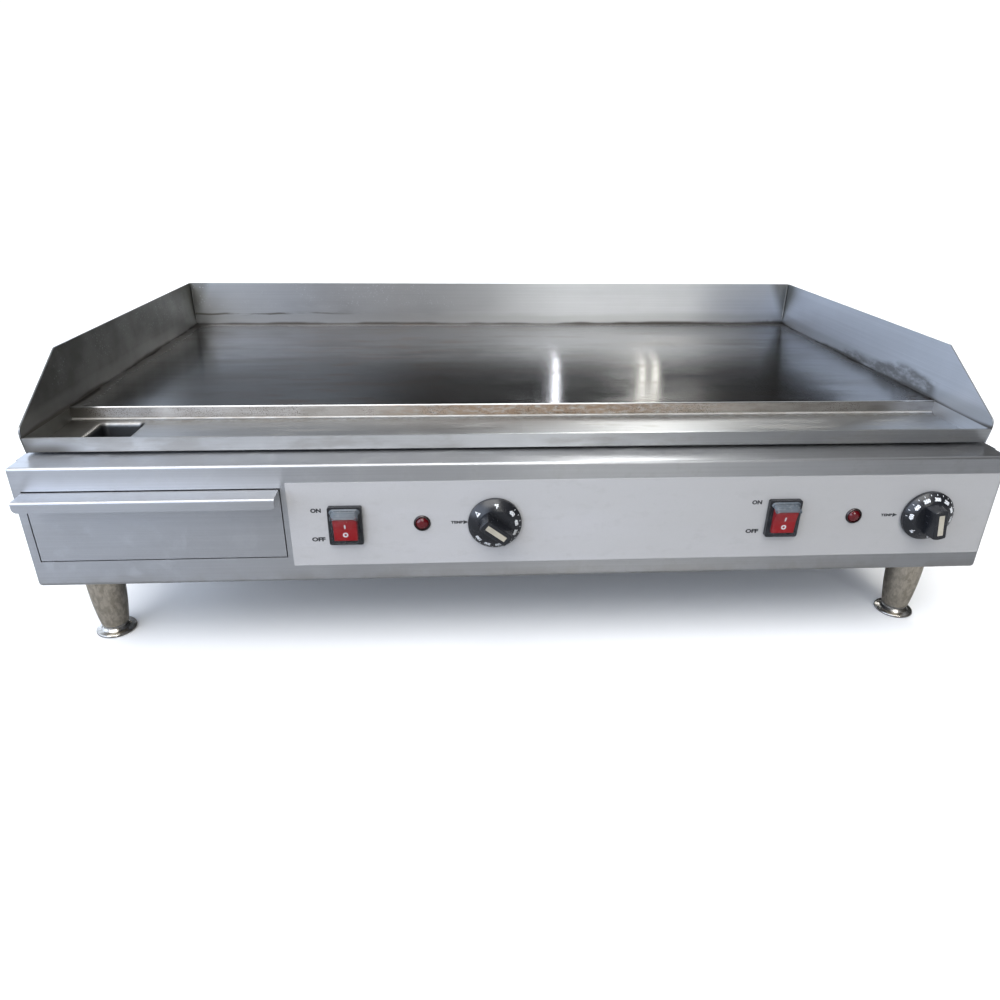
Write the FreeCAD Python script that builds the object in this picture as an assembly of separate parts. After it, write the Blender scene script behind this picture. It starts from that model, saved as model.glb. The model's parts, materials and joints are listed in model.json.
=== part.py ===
import FreeCAD, Part
import math
import os

# Two-zone electric countertop griddle.
# Frame: +X to the right as the cook sees it, +Y to the back, +Z up.
# Origin: on the worktop, under the middle of the whole object. Every size is in millimetres.

# ---------------------------------------------------------------- case
body_width = 904.0
body_height = 119.0
ground_clearance = 88.2
case_sheet = 1.2
case_corner_radius = 3.0
case_lower_radius = 4.0
case_top_radius = 2.5
case_return = 20.0
ledge_depth = 50.0
side_top_flange = 18.0
side_bottom_flange = 52.0
base_turn_up = 8.6
fold_radius = 1.0
weld_gap = 0.3
overcut = 1.0

# ---------------------------------------------------------------- cooking top
tray_inset = 4.0
guard_sheet = 1.5
plate_depth = 400.0
plate_chamfer = 1.0
tray_back_gap = 2.0
plate_thickness = 14.0
guard_height = 59.7
trough_width = 89.2
lip_height = 15.0
lip_lean = 3.0
lip_setback = 27.3
guard_corner_radius = 6.5
guard_kink_radius = 4.0
guard_back_radius = 2.0
guard_foot_rise = 8.0
tuck_length = 14.0
rail_sheet = 3.5
rail_flange = 22.0
rail_height = 31.0
body_depth = lip_setback + trough_width + plate_depth + guard_sheet + tray_back_gap

# ---------------------------------------------------------------- drain and drawer
drain_length = 39.5
drain_width = 45.0
drain_corner = 5.0
drain_roll = 3.5
drain_from_left = 54.0
drain_from_plate = 8.5
collar_depth = 14.0
drain_margin = 0.1
chute_sheet = 1.2
chute_length = 24.0
drawer_width = 220.7
drawer_above_base = 27.5
drawer_from_left = 9.5
drawer_below_ledge = 23.0
drawer_gap = 1.0
handle_reach = 21.0
handle_drop = 10.0
handle_corner = 4.0
drawer_sheet = 1.2
pan_sheet = 1.0
pan_length = 300.0
pan_side_gap = 7.0
pan_below_front_top = 7.0
pan_above_front_bottom = 3.5
pan_corner = 4.0
bay_gap = 8.0
runner_sheet = 1.5
runner_flange = 12.0
runner_inset = 2.0
slide_clearance = 0.3

# ---------------------------------------------------------------- control label
# The controls stand in from the two ends of the label.
label_from_drawer = 5.8
label_from_side = 3.0
label_top_drop = 17.0
label_above_base = 17.8
label_sheet = 0.5
label_corner = 0.8
control_above_middle = 0.4
left_switch_in = 51.0
left_lamp_in = 120.4
left_knob_in = 187.3
right_switch_in = 205.0
right_lamp_in = 135.0
right_knob_in = 63.5
knob_mark_angles = {"left": 143.0, "right": 279.0}

# ---------------------------------------------------------------- switches
bezel_width = 31.0
bezel_height = 38.0
bezel_depth = 4.5
bezel_corner = 2.0
housing_width = 27.0
housing_height = 30.5
housing_length = 27.0
housing_fit = 0.3
housing_corner = 1.0
rocker_width = 21.0
rocker_height = 26.0
rocker_face = 8.5
rocker_dish = 1.3
rocker_shoulder = 3.0
rocker_shoulder_height = 24.6
rocker_tail = 5.0
rocker_tail_height = 14.0
rocker_tilt = 10.0
rocker_pivot_drop = 1.0
rocker_pin_radius = 1.5
rocker_pin_length = 2.0
rocker_edge = 0.9
rocker_room = 0.6
pin_clearance = 0.05
tail_room = 2.0
boot_wall = 1.0
boot_corner = 2.6
boot_edge = 0.8
boot_height = 8.0
boot_side_room = 1.0
boot_end_room = 2.0
boot_flange = 1.5
boot_flange_height = 1.5
boot_step = 1.0
boot_step_height = 4.5
tab_width = 6.3
tab_sheet = 0.8
tab_length = 9.0
tab_spacing = 12.0

# ---------------------------------------------------------------- lamps
lamp_ring_radius = 7.8
lamp_lens_radius = 6.2
lamp_ring_depth = 1.8
lamp_ring_edge = 0.6
lamp_ring_crown = 0.4
lamp_web_inset = 0.5
lamp_lens_rise = 3.4
lamp_lens_edge = 1.4
lamp_seat = 0.3
lamp_spigot = 2.5
lamp_cup_depth = 3.0
lamp_tab_spacing = 6.0
lamp_tab_width = 4.8
lamp_barrel_radius = 5.9
lamp_cup_radius = 4.7
lamp_barrel_length = 24.0
lamp_hole_radius = 6.0

# ---------------------------------------------------------------- knobs and thermostats
knob_gap = 0.8
knob_radius = 24.8
knob_rim = 3.2
knob_shoulder_radius = 16.0
knob_shoulder = 9.5
knob_crown = 0.6
knob_height = 23.7
knob_wall = 2.2
knob_hub_radius = 7.5
knob_hollow = 5.0
knob_skirt_edge = 1.0
grip_length = 33.0
grip_foot_width = 16.0
grip_top_width = 12.0
grip_edge = 1.2
grip_end_taper = 1.5
insert_length = 21.0
insert_width = 5.0
insert_depth = 1.0
shaft_radius = 3.0
shaft_fit = 0.03
shaft_flat = 1.8
shaft_in_knob = 14.0
shaft_in_body = 10.0
shaft_hole_radius = 6.0
thermostat_width = 36.0
thermostat_height = 44.0
thermostat_depth = 36.0
thermostat_corner = 3.0
thermostat_screw_spacing = 28.0
screw_radius = 2.0
screw_head_radius = 3.9
screw_head_height = 2.2
screw_fit = 0.2
case_screw_length = 9.0
thermostat_screw_length = 6.0
screw_tip_room = 2.0
capillary_radius = 1.0
capillary_bend = 12.0
capillary_lead_in = 30.0
capillary_side = 8.0
capillary_rise = 9.0
bulb_radius = 3.0
bulb_length = 120.0
bulb_from_edge = 120.0
capillary_in_bulb = 2.0
clip_sheet = 1.0
clip_width = 12.0
clip_flange = 7.0
clip_inset = 22.0

# ---------------------------------------------------------------- heating
element_radius = 4.0
element_runs = 6
element_first_run = 48.0
element_last_run = 52.0
element_outer_margin = 36.0
element_inner_margin = 50.0
element_drop = 46.0
element_drop_bend = 14.0
element_pin_radius = 1.6
element_pin_length = 9.0
zone_gap = 4.0
clamp_bar_width = 20.0
clamp_bar_thickness = 3.0
clamp_bar_corner = 3.0
clamp_bar_overhang = 14.0
clamp_bars_per_zone = 3
clamp_gaps = [1, 3]
stud_radius = 3.0
stud_length = 17.8
stud_fit = 0.3
nut_width = 10.0
nut_height = 5.0
insulation_thickness = 8.0
insulation_margin = 6.0
insulation_hole = 9.0
insulation_corner = 8.0
shield_sheet = 1.0

# ---------------------------------------------------------------- legs and feet
leg_inset_x = 28.5
leg_inset_y = 60.0
leg_top_radius = 17.0
leg_bottom_radius = 13.2
leg_bulge = 2.4
leg_edge = 1.0
leg_stud_radius = 5.0
leg_stud_length = 16.0
leg_nut_width = 17.0
leg_nut_height = 8.0
foot_radius = 19.4
foot_flange = 3.0
foot_neck_radius = 12.4
foot_neck = 6.0
foot_shank_radius = 8.0
foot_shank_clearance = 0.05
foot_travel = 20.0
foot_hold = 14.0
foot_end_room = 3.0
foot_edge = 1.0
foot_edge_crown = 0.3
foot_shoulder = 2.0

# ---------------------------------------------------------------- rear and underside
louvre_width = 70.0
louvre_height = 8.0
louvre_rise = 4.0
louvre_opening = 3.0
louvre_pitch = 14.0
louvre_rows = 5
louvre_columns = [-220.0, -110.0, 0.0, 110.0, 220.0]
gland_from_side = 100.0
gland_above_base = 34.0
gland_reach = 24.0
gland_hex = 27.0
gland_hex_length = 7.0
gland_dome_radius = 12.0
gland_thread_radius = 10.0
gland_inner_length = 12.0
gland_nut_height = 6.0
gland_bore = 5.5
gland_mouth_wall = 2.0
gland_dome_taper = 6.0
gland_dome_crown = 1.2
bonding_from_side = 40.0
bonding_radius = 3.0
bonding_length = 15.0
bonding_washer_radius = 7.0
bonding_washer = 1.5
slot_length = 60.0
slot_width = 5.0
slot_corner = 2.4
slot_pitch_x = 90.0
slot_pitch_y = 24.0
slot_columns = 6
slot_rows = 5
slot_offset_x = 90.0
slot_offset_y = 40.0
block_length = 66.0
block_width = 22.0
block_height = 24.0
block_poles = 4
block_hole_radius = 2.5
block_hole_depth = 6.0
block_screw_radius = 3.2
block_screw_depth = 5.0
block_from_rear = 45.0
wire_radius = 1.4
wire_bend = 9.0
wire_stub = 16.0
wire_floor = 6.0
wire_spacing = 6.0
wire_front_lane = 166.0
wire_rear_lane = 196.0
wire_lane_step = 18.0
element_wire_bend = 6.3

# ---------------------------------------------------------------- places worked out from the sizes
knob_reach = label_sheet + knob_gap + knob_height
front_y = -(body_depth + gland_reach - knob_reach) / 2
rear_y = front_y + body_depth
underside_z = ground_clearance
ledge_z = underside_z + body_height
half_width = body_width / 2
side_face = half_width - case_sheet
side_inner = side_face - case_sheet
side_flange_z = ledge_z - case_sheet
tray_half = half_width - tray_inset
tray_inner = tray_half - guard_sheet
tray_base_z = side_flange_z + rail_sheet
plate_base_z = tray_base_z + guard_sheet
plate_top_z = plate_base_z + plate_thickness
guard_top_z = plate_top_z + guard_height
lip_top_z = tray_base_z + lip_height
lip_top_y = front_y + lip_setback
plate_front_y = lip_top_y + trough_width
plate_back_y = plate_front_y + plate_depth
guard_back_y = plate_back_y + guard_sheet
guard_kink_y = plate_front_y
shield_top_z = side_flange_z + rail_sheet - rail_height + rail_sheet + shield_sheet
insulation_top_z = shield_top_z + insulation_thickness
base_sheet_z = underside_z + 2 * case_sheet
base_top_z = base_sheet_z + case_sheet
label_height = body_height - label_top_drop - label_above_base
control_z = ledge_z - label_top_drop - label_height / 2 + control_above_middle
label_face_y = front_y - label_sheet
panel_back_y = front_y + case_sheet
drain_x = -tray_half + drain_from_left
drain_y = plate_front_y - drain_from_plate - drain_width / 2
drawer_left = -half_width + drawer_from_left
drawer_right = drawer_left + drawer_width
label_left = drawer_right + label_from_drawer
label_right = half_width - label_from_side
switch_places = {"left": label_left + left_switch_in, "right": label_right - right_switch_in}
lamp_places = {"left": label_left + left_lamp_in, "right": label_right - right_lamp_in}
knob_places = {"left": label_left + left_knob_in, "right": label_right - right_knob_in}
drawer_top_z = ledge_z - drawer_below_ledge
drawer_bottom_z = underside_z + drawer_above_base
pan_top_z = drawer_top_z - pan_below_front_top
pan_bottom_z = drawer_bottom_z + pan_above_front_bottom
pan_left = drawer_left + pan_side_gap
pan_right = drawer_right - pan_side_gap
pan_front_y = front_y + drawer_sheet
pan_back_y = pan_front_y + pan_length
rail_front_y = plate_front_y - guard_sheet
rail_back_y = rear_y - case_return - rail_sheet
shield_front_y = rail_front_y + rail_sheet + fold_radius
shield_back_y = rail_back_y - rail_sheet - fold_radius
housing_back_y = label_face_y + housing_length
thermostat_back_y = panel_back_y + thermostat_depth
bezel_face_y = label_face_y - bezel_depth
rocker_pivot_y = front_y - rocker_pivot_drop
leg_top_z = underside_z + case_sheet
leg_bottom_z = foot_flange + foot_neck
leg_x = half_width - leg_inset_x
foot_shank_length = foot_travel + foot_hold
gland_x = half_width - gland_from_side
bonding_x = half_width - bonding_from_side
gland_z = base_top_z + gland_above_base
block_y = rear_y - block_from_rear
element_pitch = (plate_depth - element_first_run - element_last_run) / (element_runs - 1)
zone_half = side_face - side_top_flange
zones = {"left": (-zone_half, -zone_gap / 2), "right": (zone_gap / 2, zone_half)}


# ---------------------------------------------------------------- shape helpers
def vector(x, y, z):
    return FreeCAD.Vector(x, y, z)


def block(x, y, z):
    """A box between two values along each axis."""
    corner = vector(min(x), min(y), min(z))
    return Part.makeBox(abs(x[1] - x[0]), abs(y[1] - y[0]), abs(z[1] - z[0]), corner)


def rod(radius, start, end):
    """A round bar from one point to another."""
    along = end - start
    return Part.makeCylinder(radius, along.Length, start, along)


def lift(point, axis, place):
    """A flat outline's point put in space, on the plane that crosses the axis at this place."""
    first, second = point
    if axis == "x":
        return vector(place, first, second)
    if axis == "y":
        return vector(first, place, second)
    return vector(first, second, place)


def stretch(axis, length):
    return lift((0, 0), axis, length)


def rounded_run(points, radii):
    """Edges through the points, with each inner point replaced by a tangent arc of its radius."""
    edges = []
    last = points[0]
    for before, corner, after, radius in zip(points, points[1:], points[2:], radii):
        arriving = (corner - before).normalize()
        leaving = (after - corner).normalize()
        half_turn = arriving.getAngle(leaving) / 2
        reach = radius * math.tan(half_turn)
        start = corner - arriving * reach
        end = corner + leaving * reach
        inward = (leaving - arriving).normalize()
        middle = corner + inward * (radius / math.cos(half_turn) - radius)
        if (start - last).Length > 1e-6:
            edges.append(Part.LineSegment(last, start).toShape())
        edges.append(Part.Arc(start, middle, end).toShape())
        last = end
    edges.append(Part.LineSegment(last, points[-1]).toShape())
    return edges


def outline(points, axis, low, high, radii=None):
    """A closed outline, with its corners rounded where a radius is given, stretched along an axis."""
    placed = [lift(point, axis, low) for point in points]
    if radii is None:
        wire = Part.makePolygon(placed + placed[:1])
    else:
        middle = (placed[-1] + placed[0]) * 0.5
        wire = Part.Wire(rounded_corners(middle, placed, radii))
    return Part.Face(wire).extrude(stretch(axis, high - low))


def rounded_corners(middle, placed, radii):
    """Edges of a closed outline that starts and ends at the middle of its last side."""
    edges = []
    last = middle
    around = placed + [middle]
    before = middle
    for corner, after, radius in zip(placed, around[1:], radii):
        arriving = (corner - before).normalize()
        leaving = (after - corner).normalize()
        before = corner
        if radius == 0:
            edges.append(Part.LineSegment(last, corner).toShape())
            last = corner
            continue
        half_turn = arriving.getAngle(leaving) / 2
        start = corner - arriving * radius * math.tan(half_turn)
        end = corner + leaving * radius * math.tan(half_turn)
        inward = (leaving - arriving).normalize()
        edges.append(Part.LineSegment(last, start).toShape())
        bow = corner + inward * (radius / math.cos(half_turn) - radius)
        edges.append(Part.Arc(start, bow, end).toShape())
        last = end
    edges.append(Part.LineSegment(last, middle).toShape())
    return edges


def beside(points, distance):
    """The same flat path moved to its left by a distance, with mitred corners."""
    normals = []
    for (x0, y0), (x1, y1) in zip(points, points[1:]):
        length = math.hypot(x1 - x0, y1 - y0)
        normals.append(((y0 - y1) / length, (x1 - x0) / length))
    pairs = zip([normals[0]] + normals, normals + [normals[-1]])
    moved = []
    for (x, y), (first, second) in zip(points, pairs):
        share = distance / (1 + first[0] * second[0] + first[1] * second[1])
        moved.append((x + share * (first[0] + second[0]), y + share * (first[1] + second[1])))
    return moved


def folded_sheet(points, thickness, axis, low, high, inside=fold_radius):
    """Sheet metal folded along a flat path: the path is one face, the metal lies to its left."""
    near_radii = []
    far_radii = []
    for (x0, y0), (x1, y1), (x2, y2) in zip(points, points[1:], points[2:]):
        turns_left = (x1 - x0) * (y2 - y1) - (y1 - y0) * (x2 - x1) > 0
        near_radii.append(inside + thickness if turns_left else inside)
        far_radii.append(inside if turns_left else inside + thickness)
    near = [lift(point, axis, low) for point in points]
    far = [lift(point, axis, low) for point in beside(points, thickness)]
    edges = rounded_run(near, near_radii)
    edges.append(Part.LineSegment(near[-1], far[-1]).toShape())
    edges += rounded_run(far[::-1], far_radii[::-1])
    edges.append(Part.LineSegment(far[0], near[0]).toShape())
    face = Part.Face(Part.Wire(Part.__sortEdges__(edges)))
    return face.extrude(stretch(axis, high - low))


def rounded_block(x, y, z, radius, axis):
    """A box whose four edges along one axis are rounded."""
    spans = {"x": (y, z, x), "y": (x, z, y), "z": (x, y, z)}
    first, second, along = spans[axis]
    corners = [(first[0], second[0]), (first[1], second[0]), (first[1], second[1]), (first[0], second[1])]
    return outline(corners, axis, along[0], along[1], [radius] * 4)


def centred_block(width, height, y, radius, x=0.0, z=0.0):
    """A rounded rectangle seen from the front, stretched between two depths."""
    across = (x - width / 2, x + width / 2)
    upward = (z - height / 2, z + height / 2)
    return rounded_block(across, y, upward, radius, "y")


def pipe(points, bend, radius):
    """A round tube or wire along straight runs joined by tangent arcs."""
    path = Part.Wire(rounded_run(points, [bend] * (len(points) - 2)))
    direction = points[1] - points[0]
    ring = Part.Wire(Part.Circle(points[0], direction, radius).toShape())
    return path.makePipeShell([ring], True, True)


def turned(profile, centre, axis=(0, 0, 1)):
    """A solid of revolution from (radius, height) points; a third number bows the side to that point."""
    edges = []
    start = None
    for station in profile + profile[:1]:
        point = vector(station[0], 0, station[1])
        if start is not None and (point - start).Length > 1e-6:
            if len(station) == 3:
                side = vector(point.z - start.z, 0, start.x - point.x).normalize()
                middle = (start + point) * 0.5 + side * station[2]
                edges.append(Part.Arc(start, middle, point).toShape())
            else:
                edges.append(Part.LineSegment(start, point).toShape())
        start = point
    solid = Part.Face(Part.Wire(edges)).revolve(vector(0, 0, 0), vector(0, 0, 1), 360)
    solid.Placement = FreeCAD.Placement(centre, FreeCAD.Rotation(vector(0, 0, 1), vector(*axis)))
    return solid


def dome_bow(radius, height):
    """How far a dome's side stands out from its chord, for a dome that is part of a sphere."""
    sphere = (radius ** 2 + height ** 2) / (2 * height)
    return sphere * (1 - math.cos(math.asin(radius / sphere) / 2))


def hexagon(width, axis_start, axis_end):
    """A six-sided bar, width across its flats."""
    along = axis_end - axis_start
    corner_radius = width / 2 / math.cos(math.pi / 6)
    corners = [vector(corner_radius * math.cos(k * math.pi / 3), corner_radius * math.sin(k * math.pi / 3), 0)
               for k in range(6)]
    bar = Part.Face(Part.makePolygon(corners + corners[:1])).extrude(vector(0, 0, along.Length))
    bar.Placement = FreeCAD.Placement(axis_start, FreeCAD.Rotation(vector(0, 0, 1), along))
    return bar


def nut(width, height, bore, start, direction):
    end = start + direction * height
    return hexagon(width, start, end).cut(rod(bore, start - direction, end + direction))


def screw(seat, inward, length):
    """A low domed machine screw: its head stands on the seat, its shank goes inward."""
    profile = [(0, -length), (screw_radius, -length), (screw_radius, 0), (screw_head_radius, 0),
               (0, screw_head_height, dome_bow(screw_head_radius, screw_head_height))]
    return turned(profile, seat, (-inward.x, -inward.y, -inward.z))


def fused(shapes):
    whole = shapes[0].multiFuse(shapes[1:]) if len(shapes) > 1 else shapes[0]
    return whole.removeSplitter()


def group(shapes):
    return Part.makeCompound(shapes)


def mirrored(shape):
    return shape.mirror(vector(0, 0, 0), vector(1, 0, 0))


def edges_near(shape, test):
    return [edge for edge in shape.Edges if test(edge.BoundBox)]


def thin(low, high, place):
    return abs(low - place) < 1e-3 and abs(high - place) < 1e-3


# ---------------------------------------------------------------- case
def case_end_pan(near_y, far_y):
    """A shallow pan of sheet, open towards far_y: the case's front or rear, with its returned edges."""
    y = (near_y, far_y)
    outer = block((-half_width, half_width), y, (underside_z, ledge_z))
    upright = edges_near(outer, lambda b: thin(b.YMin, b.YMax, near_y) and b.ZLength > body_height / 2)
    outer = outer.makeFillet(case_corner_radius, upright)
    lower = edges_near(outer, lambda b: thin(b.ZMin, b.ZMax, underside_z) and not thin(b.YMin, b.YMax, far_y))
    outer = outer.makeFillet(case_lower_radius, lower)
    upper = edges_near(outer, lambda b: thin(b.ZMin, b.ZMax, ledge_z) and thin(b.YMin, b.YMax, near_y))
    outer = outer.makeFillet(case_top_radius, upper)
    step = math.copysign(case_sheet, far_y - near_y)
    hollow = block((-side_face, side_face), (near_y + step, far_y + step),
                   (underside_z + case_sheet, side_flange_z))
    return outer.cut(hollow)


def front_panel():
    panel = case_end_pan(front_y, front_y + case_return)
    ledge = block((-half_width, half_width), (front_y + case_return, front_y + ledge_depth),
                  (side_flange_z, ledge_z))
    through = (front_y - overcut, panel_back_y + overcut)
    opening = block((drawer_left - drawer_gap, drawer_right + drawer_gap), through,
                    (drawer_bottom_z - drawer_gap, drawer_top_z + drawer_gap))
    return fused([panel, ledge]).cut(group([opening] + control_holes(through)))


def control_holes(through):
    """What the front panel and its label are pierced with for the switches, lamps and thermostats."""
    holes = []
    for x in switch_places.values():
        holes.append(centred_block(housing_width + 2 * housing_fit, housing_height + 2 * housing_fit,
                                   through, bezel_corner, x, control_z))
    for x in lamp_places.values():
        holes.append(rod(lamp_hole_radius, vector(x, through[0], control_z),
                         vector(x, through[1], control_z)))
    for x in knob_places.values():
        holes.append(rod(shaft_hole_radius, vector(x, through[0], control_z),
                         vector(x, through[1], control_z)))
        for side in (-1, 1):
            at = x + side * thermostat_screw_spacing / 2
            holes.append(rod(screw_radius + screw_fit, vector(at, through[0], control_z),
                             vector(at, through[1], control_z)))
    return holes


def control_label():
    sheet = centred_block(label_right - label_left, label_height, (label_face_y, front_y), label_corner,
                          (label_left + label_right) / 2, ledge_z - label_top_drop - label_height / 2)
    return sheet.cut(group(control_holes((label_face_y - overcut, front_y + overcut))))


def case_screw_places():
    """Seats and inward directions of the screws that hold the case: rear corners and underside."""
    places = []
    for x in (-half_width + side_top_flange / 2, half_width - side_top_flange / 2):
        for z in (underside_z + body_height / 4, ledge_z - body_height / 4):
            places.append((vector(x, rear_y, z), vector(0, -1, 0)))
    for x in (-half_width + side_bottom_flange / 2, half_width - side_bottom_flange / 2):
        for y in (front_y + case_return / 2, rear_y - case_return / 2):
            places.append((vector(x, y, underside_z), vector(0, 0, 1)))
    return places


def screw_clearances():
    depth = case_screw_length + screw_tip_room
    return group([rod(screw_radius + screw_fit, seat - inward * overcut, seat + inward * depth)
                  for seat, inward in case_screw_places()])


def side_panel(sign):
    """One side of the case, a folded sheet with a flange along its top, bottom and back."""
    y = (front_y + case_sheet, rear_y - case_sheet)
    top = side_flange_z
    bottom = underside_z + case_sheet
    path = [(side_face - side_top_flange, top), (side_face, top), (side_face, bottom),
            (side_face - side_bottom_flange, bottom)]
    wall = folded_sheet(path[::-1], case_sheet, "y", y[0], y[1])
    back = block((side_face - side_top_flange, side_face - fold_radius - case_sheet),
                 (y[1] - case_sheet, y[1]), (bottom, top))
    panel = fused([wall, back])
    studs = [rod(leg_stud_radius + stud_fit, vector(leg_x, y, bottom - overcut),
                 vector(leg_x, y, bottom + case_sheet + overcut))
             for y in (front_y + leg_inset_y, rear_y - leg_inset_y)]
    panel = panel.cut(group(studs))
    return panel if sign > 0 else mirrored(panel)


def louvre(x, z):
    """One pressed louvre: a hooded slit that sheds water, open along its lower edge."""
    inner = louvre_rise - case_sheet
    hood = outline([(rear_y - case_sheet, z + louvre_height), (rear_y, z + louvre_height),
                    (rear_y + louvre_rise, z + louvre_opening), (rear_y + louvre_rise, z),
                    (rear_y + inner, z), (rear_y + inner, z + louvre_opening - case_sheet / 2),
                    (rear_y - case_sheet, z + louvre_height - 2 * case_sheet)],
                   "x", x - louvre_width / 2, x + louvre_width / 2)
    return hood


def louvre_end(x, z, side):
    edge = x + side * louvre_width / 2
    return outline([(rear_y - case_sheet, z), (rear_y + louvre_rise, z),
                    (rear_y + louvre_rise, z + louvre_opening),
                    (rear_y, z + louvre_height), (rear_y - case_sheet, z + louvre_height)],
                   "x", edge - case_sheet / 2, edge + case_sheet / 2)


def louvre_places():
    lowest = (underside_z + ledge_z) / 2 - (louvre_rows - 1) * louvre_pitch / 2 - louvre_height / 2
    return [(x, lowest + row * louvre_pitch) for x in louvre_columns for row in range(louvre_rows)]


def rear_panel():
    panel = case_end_pan(rear_y, rear_y - case_return)
    openings = []
    hoods = []
    for x, z in louvre_places():
        openings.append(block((x - louvre_width / 2, x + louvre_width / 2),
                              (rear_y - 2 * case_sheet, rear_y + overcut),
                              (z, z + louvre_height - 2 * case_sheet)))
        hoods += [louvre(x, z), louvre_end(x, z, -1), louvre_end(x, z, 1)]
    panel = fused([panel.cut(group(openings))] + hoods)
    inside = rear_y - case_sheet - overcut
    outside = rear_y + overcut
    gland_hole = rod(gland_thread_radius, vector(gland_x, inside, gland_z), vector(gland_x, outside, gland_z))
    stud_hole = rod(bonding_radius, vector(bonding_x, inside, gland_z), vector(bonding_x, outside, gland_z))
    return panel.cut(group([gland_hole, stud_hole, screw_clearances()]))


def base_pan():
    """The floor of the case, with turned-up front and back edges and rows of vent slots."""
    y = (panel_back_y, rear_y - 2 * case_sheet)
    edge_z = base_sheet_z + base_turn_up
    path = [(y[0], edge_z), (y[0], base_sheet_z), (y[1], base_sheet_z), (y[1], edge_z)]
    width = side_inner - fold_radius
    pan = folded_sheet(path, case_sheet, "x", -width, width)
    cuts = []
    for column in range(slot_columns):
        for row in range(slot_rows):
            x = slot_offset_x + (column - (slot_columns - 1) / 2) * slot_pitch_x
            middle = slot_offset_y + (row - (slot_rows - 1) / 2) * slot_pitch_y + (front_y + rear_y) / 2
            cuts.append(rounded_block((x - slot_length / 2, x + slot_length / 2),
                                      (middle - slot_width / 2, middle + slot_width / 2),
                                      (base_sheet_z - overcut, base_top_z + overcut), slot_corner, "z"))
    for x in (-leg_x, leg_x):
        for y in (front_y + leg_inset_y, rear_y - leg_inset_y):
            cuts.append(rod(leg_stud_radius + stud_fit, vector(x, y, base_sheet_z - overcut),
                            vector(x, y, base_top_z + overcut)))
    return pan.cut(group(cuts + [screw_clearances()]))


# ---------------------------------------------------------------- cooking top
def griddle_plate():
    plate = block((-tray_inner, tray_inner), (plate_front_y, plate_back_y), (plate_base_z, plate_top_z))
    front_top = edges_near(plate, lambda b: thin(b.YMin, b.YMax, plate_front_y)
                           and thin(b.ZMin, b.ZMax, plate_top_z))
    plate = plate.makeChamfer(plate_chamfer, front_top)
    back_foot = edges_near(plate, lambda b: thin(b.YMin, b.YMax, plate_back_y)
                           and thin(b.ZMin, b.ZMax, plate_base_z))
    return plate.makeChamfer(fold_radius, back_foot)


def side_guard(sign):
    """A flat side guard: level along the plate, then sloping down to the lip of the trough."""
    foot_z = lip_top_z + guard_foot_rise
    points = [(lip_top_y + lip_lean, tray_base_z), (guard_back_y, tray_base_z), (guard_back_y, guard_top_z),
              (guard_kink_y, guard_top_z), (lip_top_y, foot_z), (lip_top_y, lip_top_z)]
    radii = [0, 0, guard_back_radius, guard_kink_radius, guard_corner_radius, 0]
    guard = outline(points, "x", tray_inner, tray_half, radii)
    return guard if sign > 0 else mirrored(guard)


def back_guard():
    """The back guard, whose lower edge is folded forward under the plate."""
    tuck = rail_back_y - rail_flange
    path = [(tuck, tray_base_z), (guard_back_y, tray_base_z), (guard_back_y, guard_top_z)]
    return folded_sheet(path, guard_sheet, "x", -tray_inner, tray_inner)


def grease_trough():
    """The lip, the trough floor and its tuck under the plate, with a drain collar drawn down from it."""
    path = [(lip_top_y, lip_top_z), (lip_top_y + lip_lean, tray_base_z),
            (plate_front_y + tuck_length, tray_base_z)]
    sheet = folded_sheet(path, guard_sheet, "x", -tray_inner, tray_inner)
    floor_z = tray_base_z + guard_sheet
    outer = drain_tube(guard_sheet, floor_z - collar_depth, floor_z)
    inner = drain_tube(0.0, floor_z - collar_depth - overcut, floor_z + overcut)
    drawn = fused([sheet, outer]).cut(inner)
    inside_hole = [edge for edge in drawn.Edges if thin(edge.BoundBox.ZMin, edge.BoundBox.ZMax, floor_z)
                   and near_drain(edge.BoundBox, drain_margin)]
    drawn = drawn.makeFillet(drain_roll + guard_sheet, inside_hole)
    under_hole = [edge for edge in drawn.Edges if thin(edge.BoundBox.ZMin, edge.BoundBox.ZMax, tray_base_z)
                  and near_drain(edge.BoundBox, guard_sheet + drain_margin)]
    return drawn.makeFillet(drain_roll, under_hole)


def near_drain(bounds, margin):
    across = abs((bounds.XMin + bounds.XMax) / 2 - drain_x) < drain_length / 2 + margin
    deep = abs((bounds.YMin + bounds.YMax) / 2 - drain_y) < drain_width / 2 + margin
    return across and deep


def drain_tube(wall, low, high):
    return rounded_block((drain_x - drain_length / 2 - wall, drain_x + drain_length / 2 + wall),
                         (drain_y - drain_width / 2 - wall, drain_y + drain_width / 2 + wall),
                         (low, high), drain_corner + wall, "z")


def drain_chute():
    """A square tube sleeved over the drain collar, which leads the grease into the drawer."""
    top = tray_base_z + guard_sheet - collar_depth / 2
    outer = drain_tube(guard_sheet + chute_sheet, top - chute_length, top)
    return outer.cut(drain_tube(guard_sheet, top - chute_length - overcut, top + overcut))


def plate_rail(web_y, forward):
    """A channel across the case: it hangs on the side panels and carries the plate and the heat shield."""
    top = tray_base_z
    bottom = top - rail_height
    toe = web_y + forward * rail_flange
    path = [(toe, top), (web_y, top), (web_y, bottom), (toe, bottom)]
    if forward < 0:
        path = path[::-1]
    rail = folded_sheet(path, rail_sheet, "x", -tray_inner, tray_inner)
    for sign in (-1, 1):
        end = sign * (side_face - side_top_flange - weld_gap)
        notch = block((end, sign * half_width),
                      (web_y - rail_flange - overcut, web_y + rail_flange + overcut),
                      (bottom - overcut, side_flange_z))
        rail = rail.cut(notch)
    return rail


def plate_rails():
    return group([plate_rail(rail_front_y, 1), plate_rail(rail_back_y, -1)])


# ---------------------------------------------------------------- heating
def run_y(index):
    return plate_front_y + element_first_run + index * element_pitch


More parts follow.
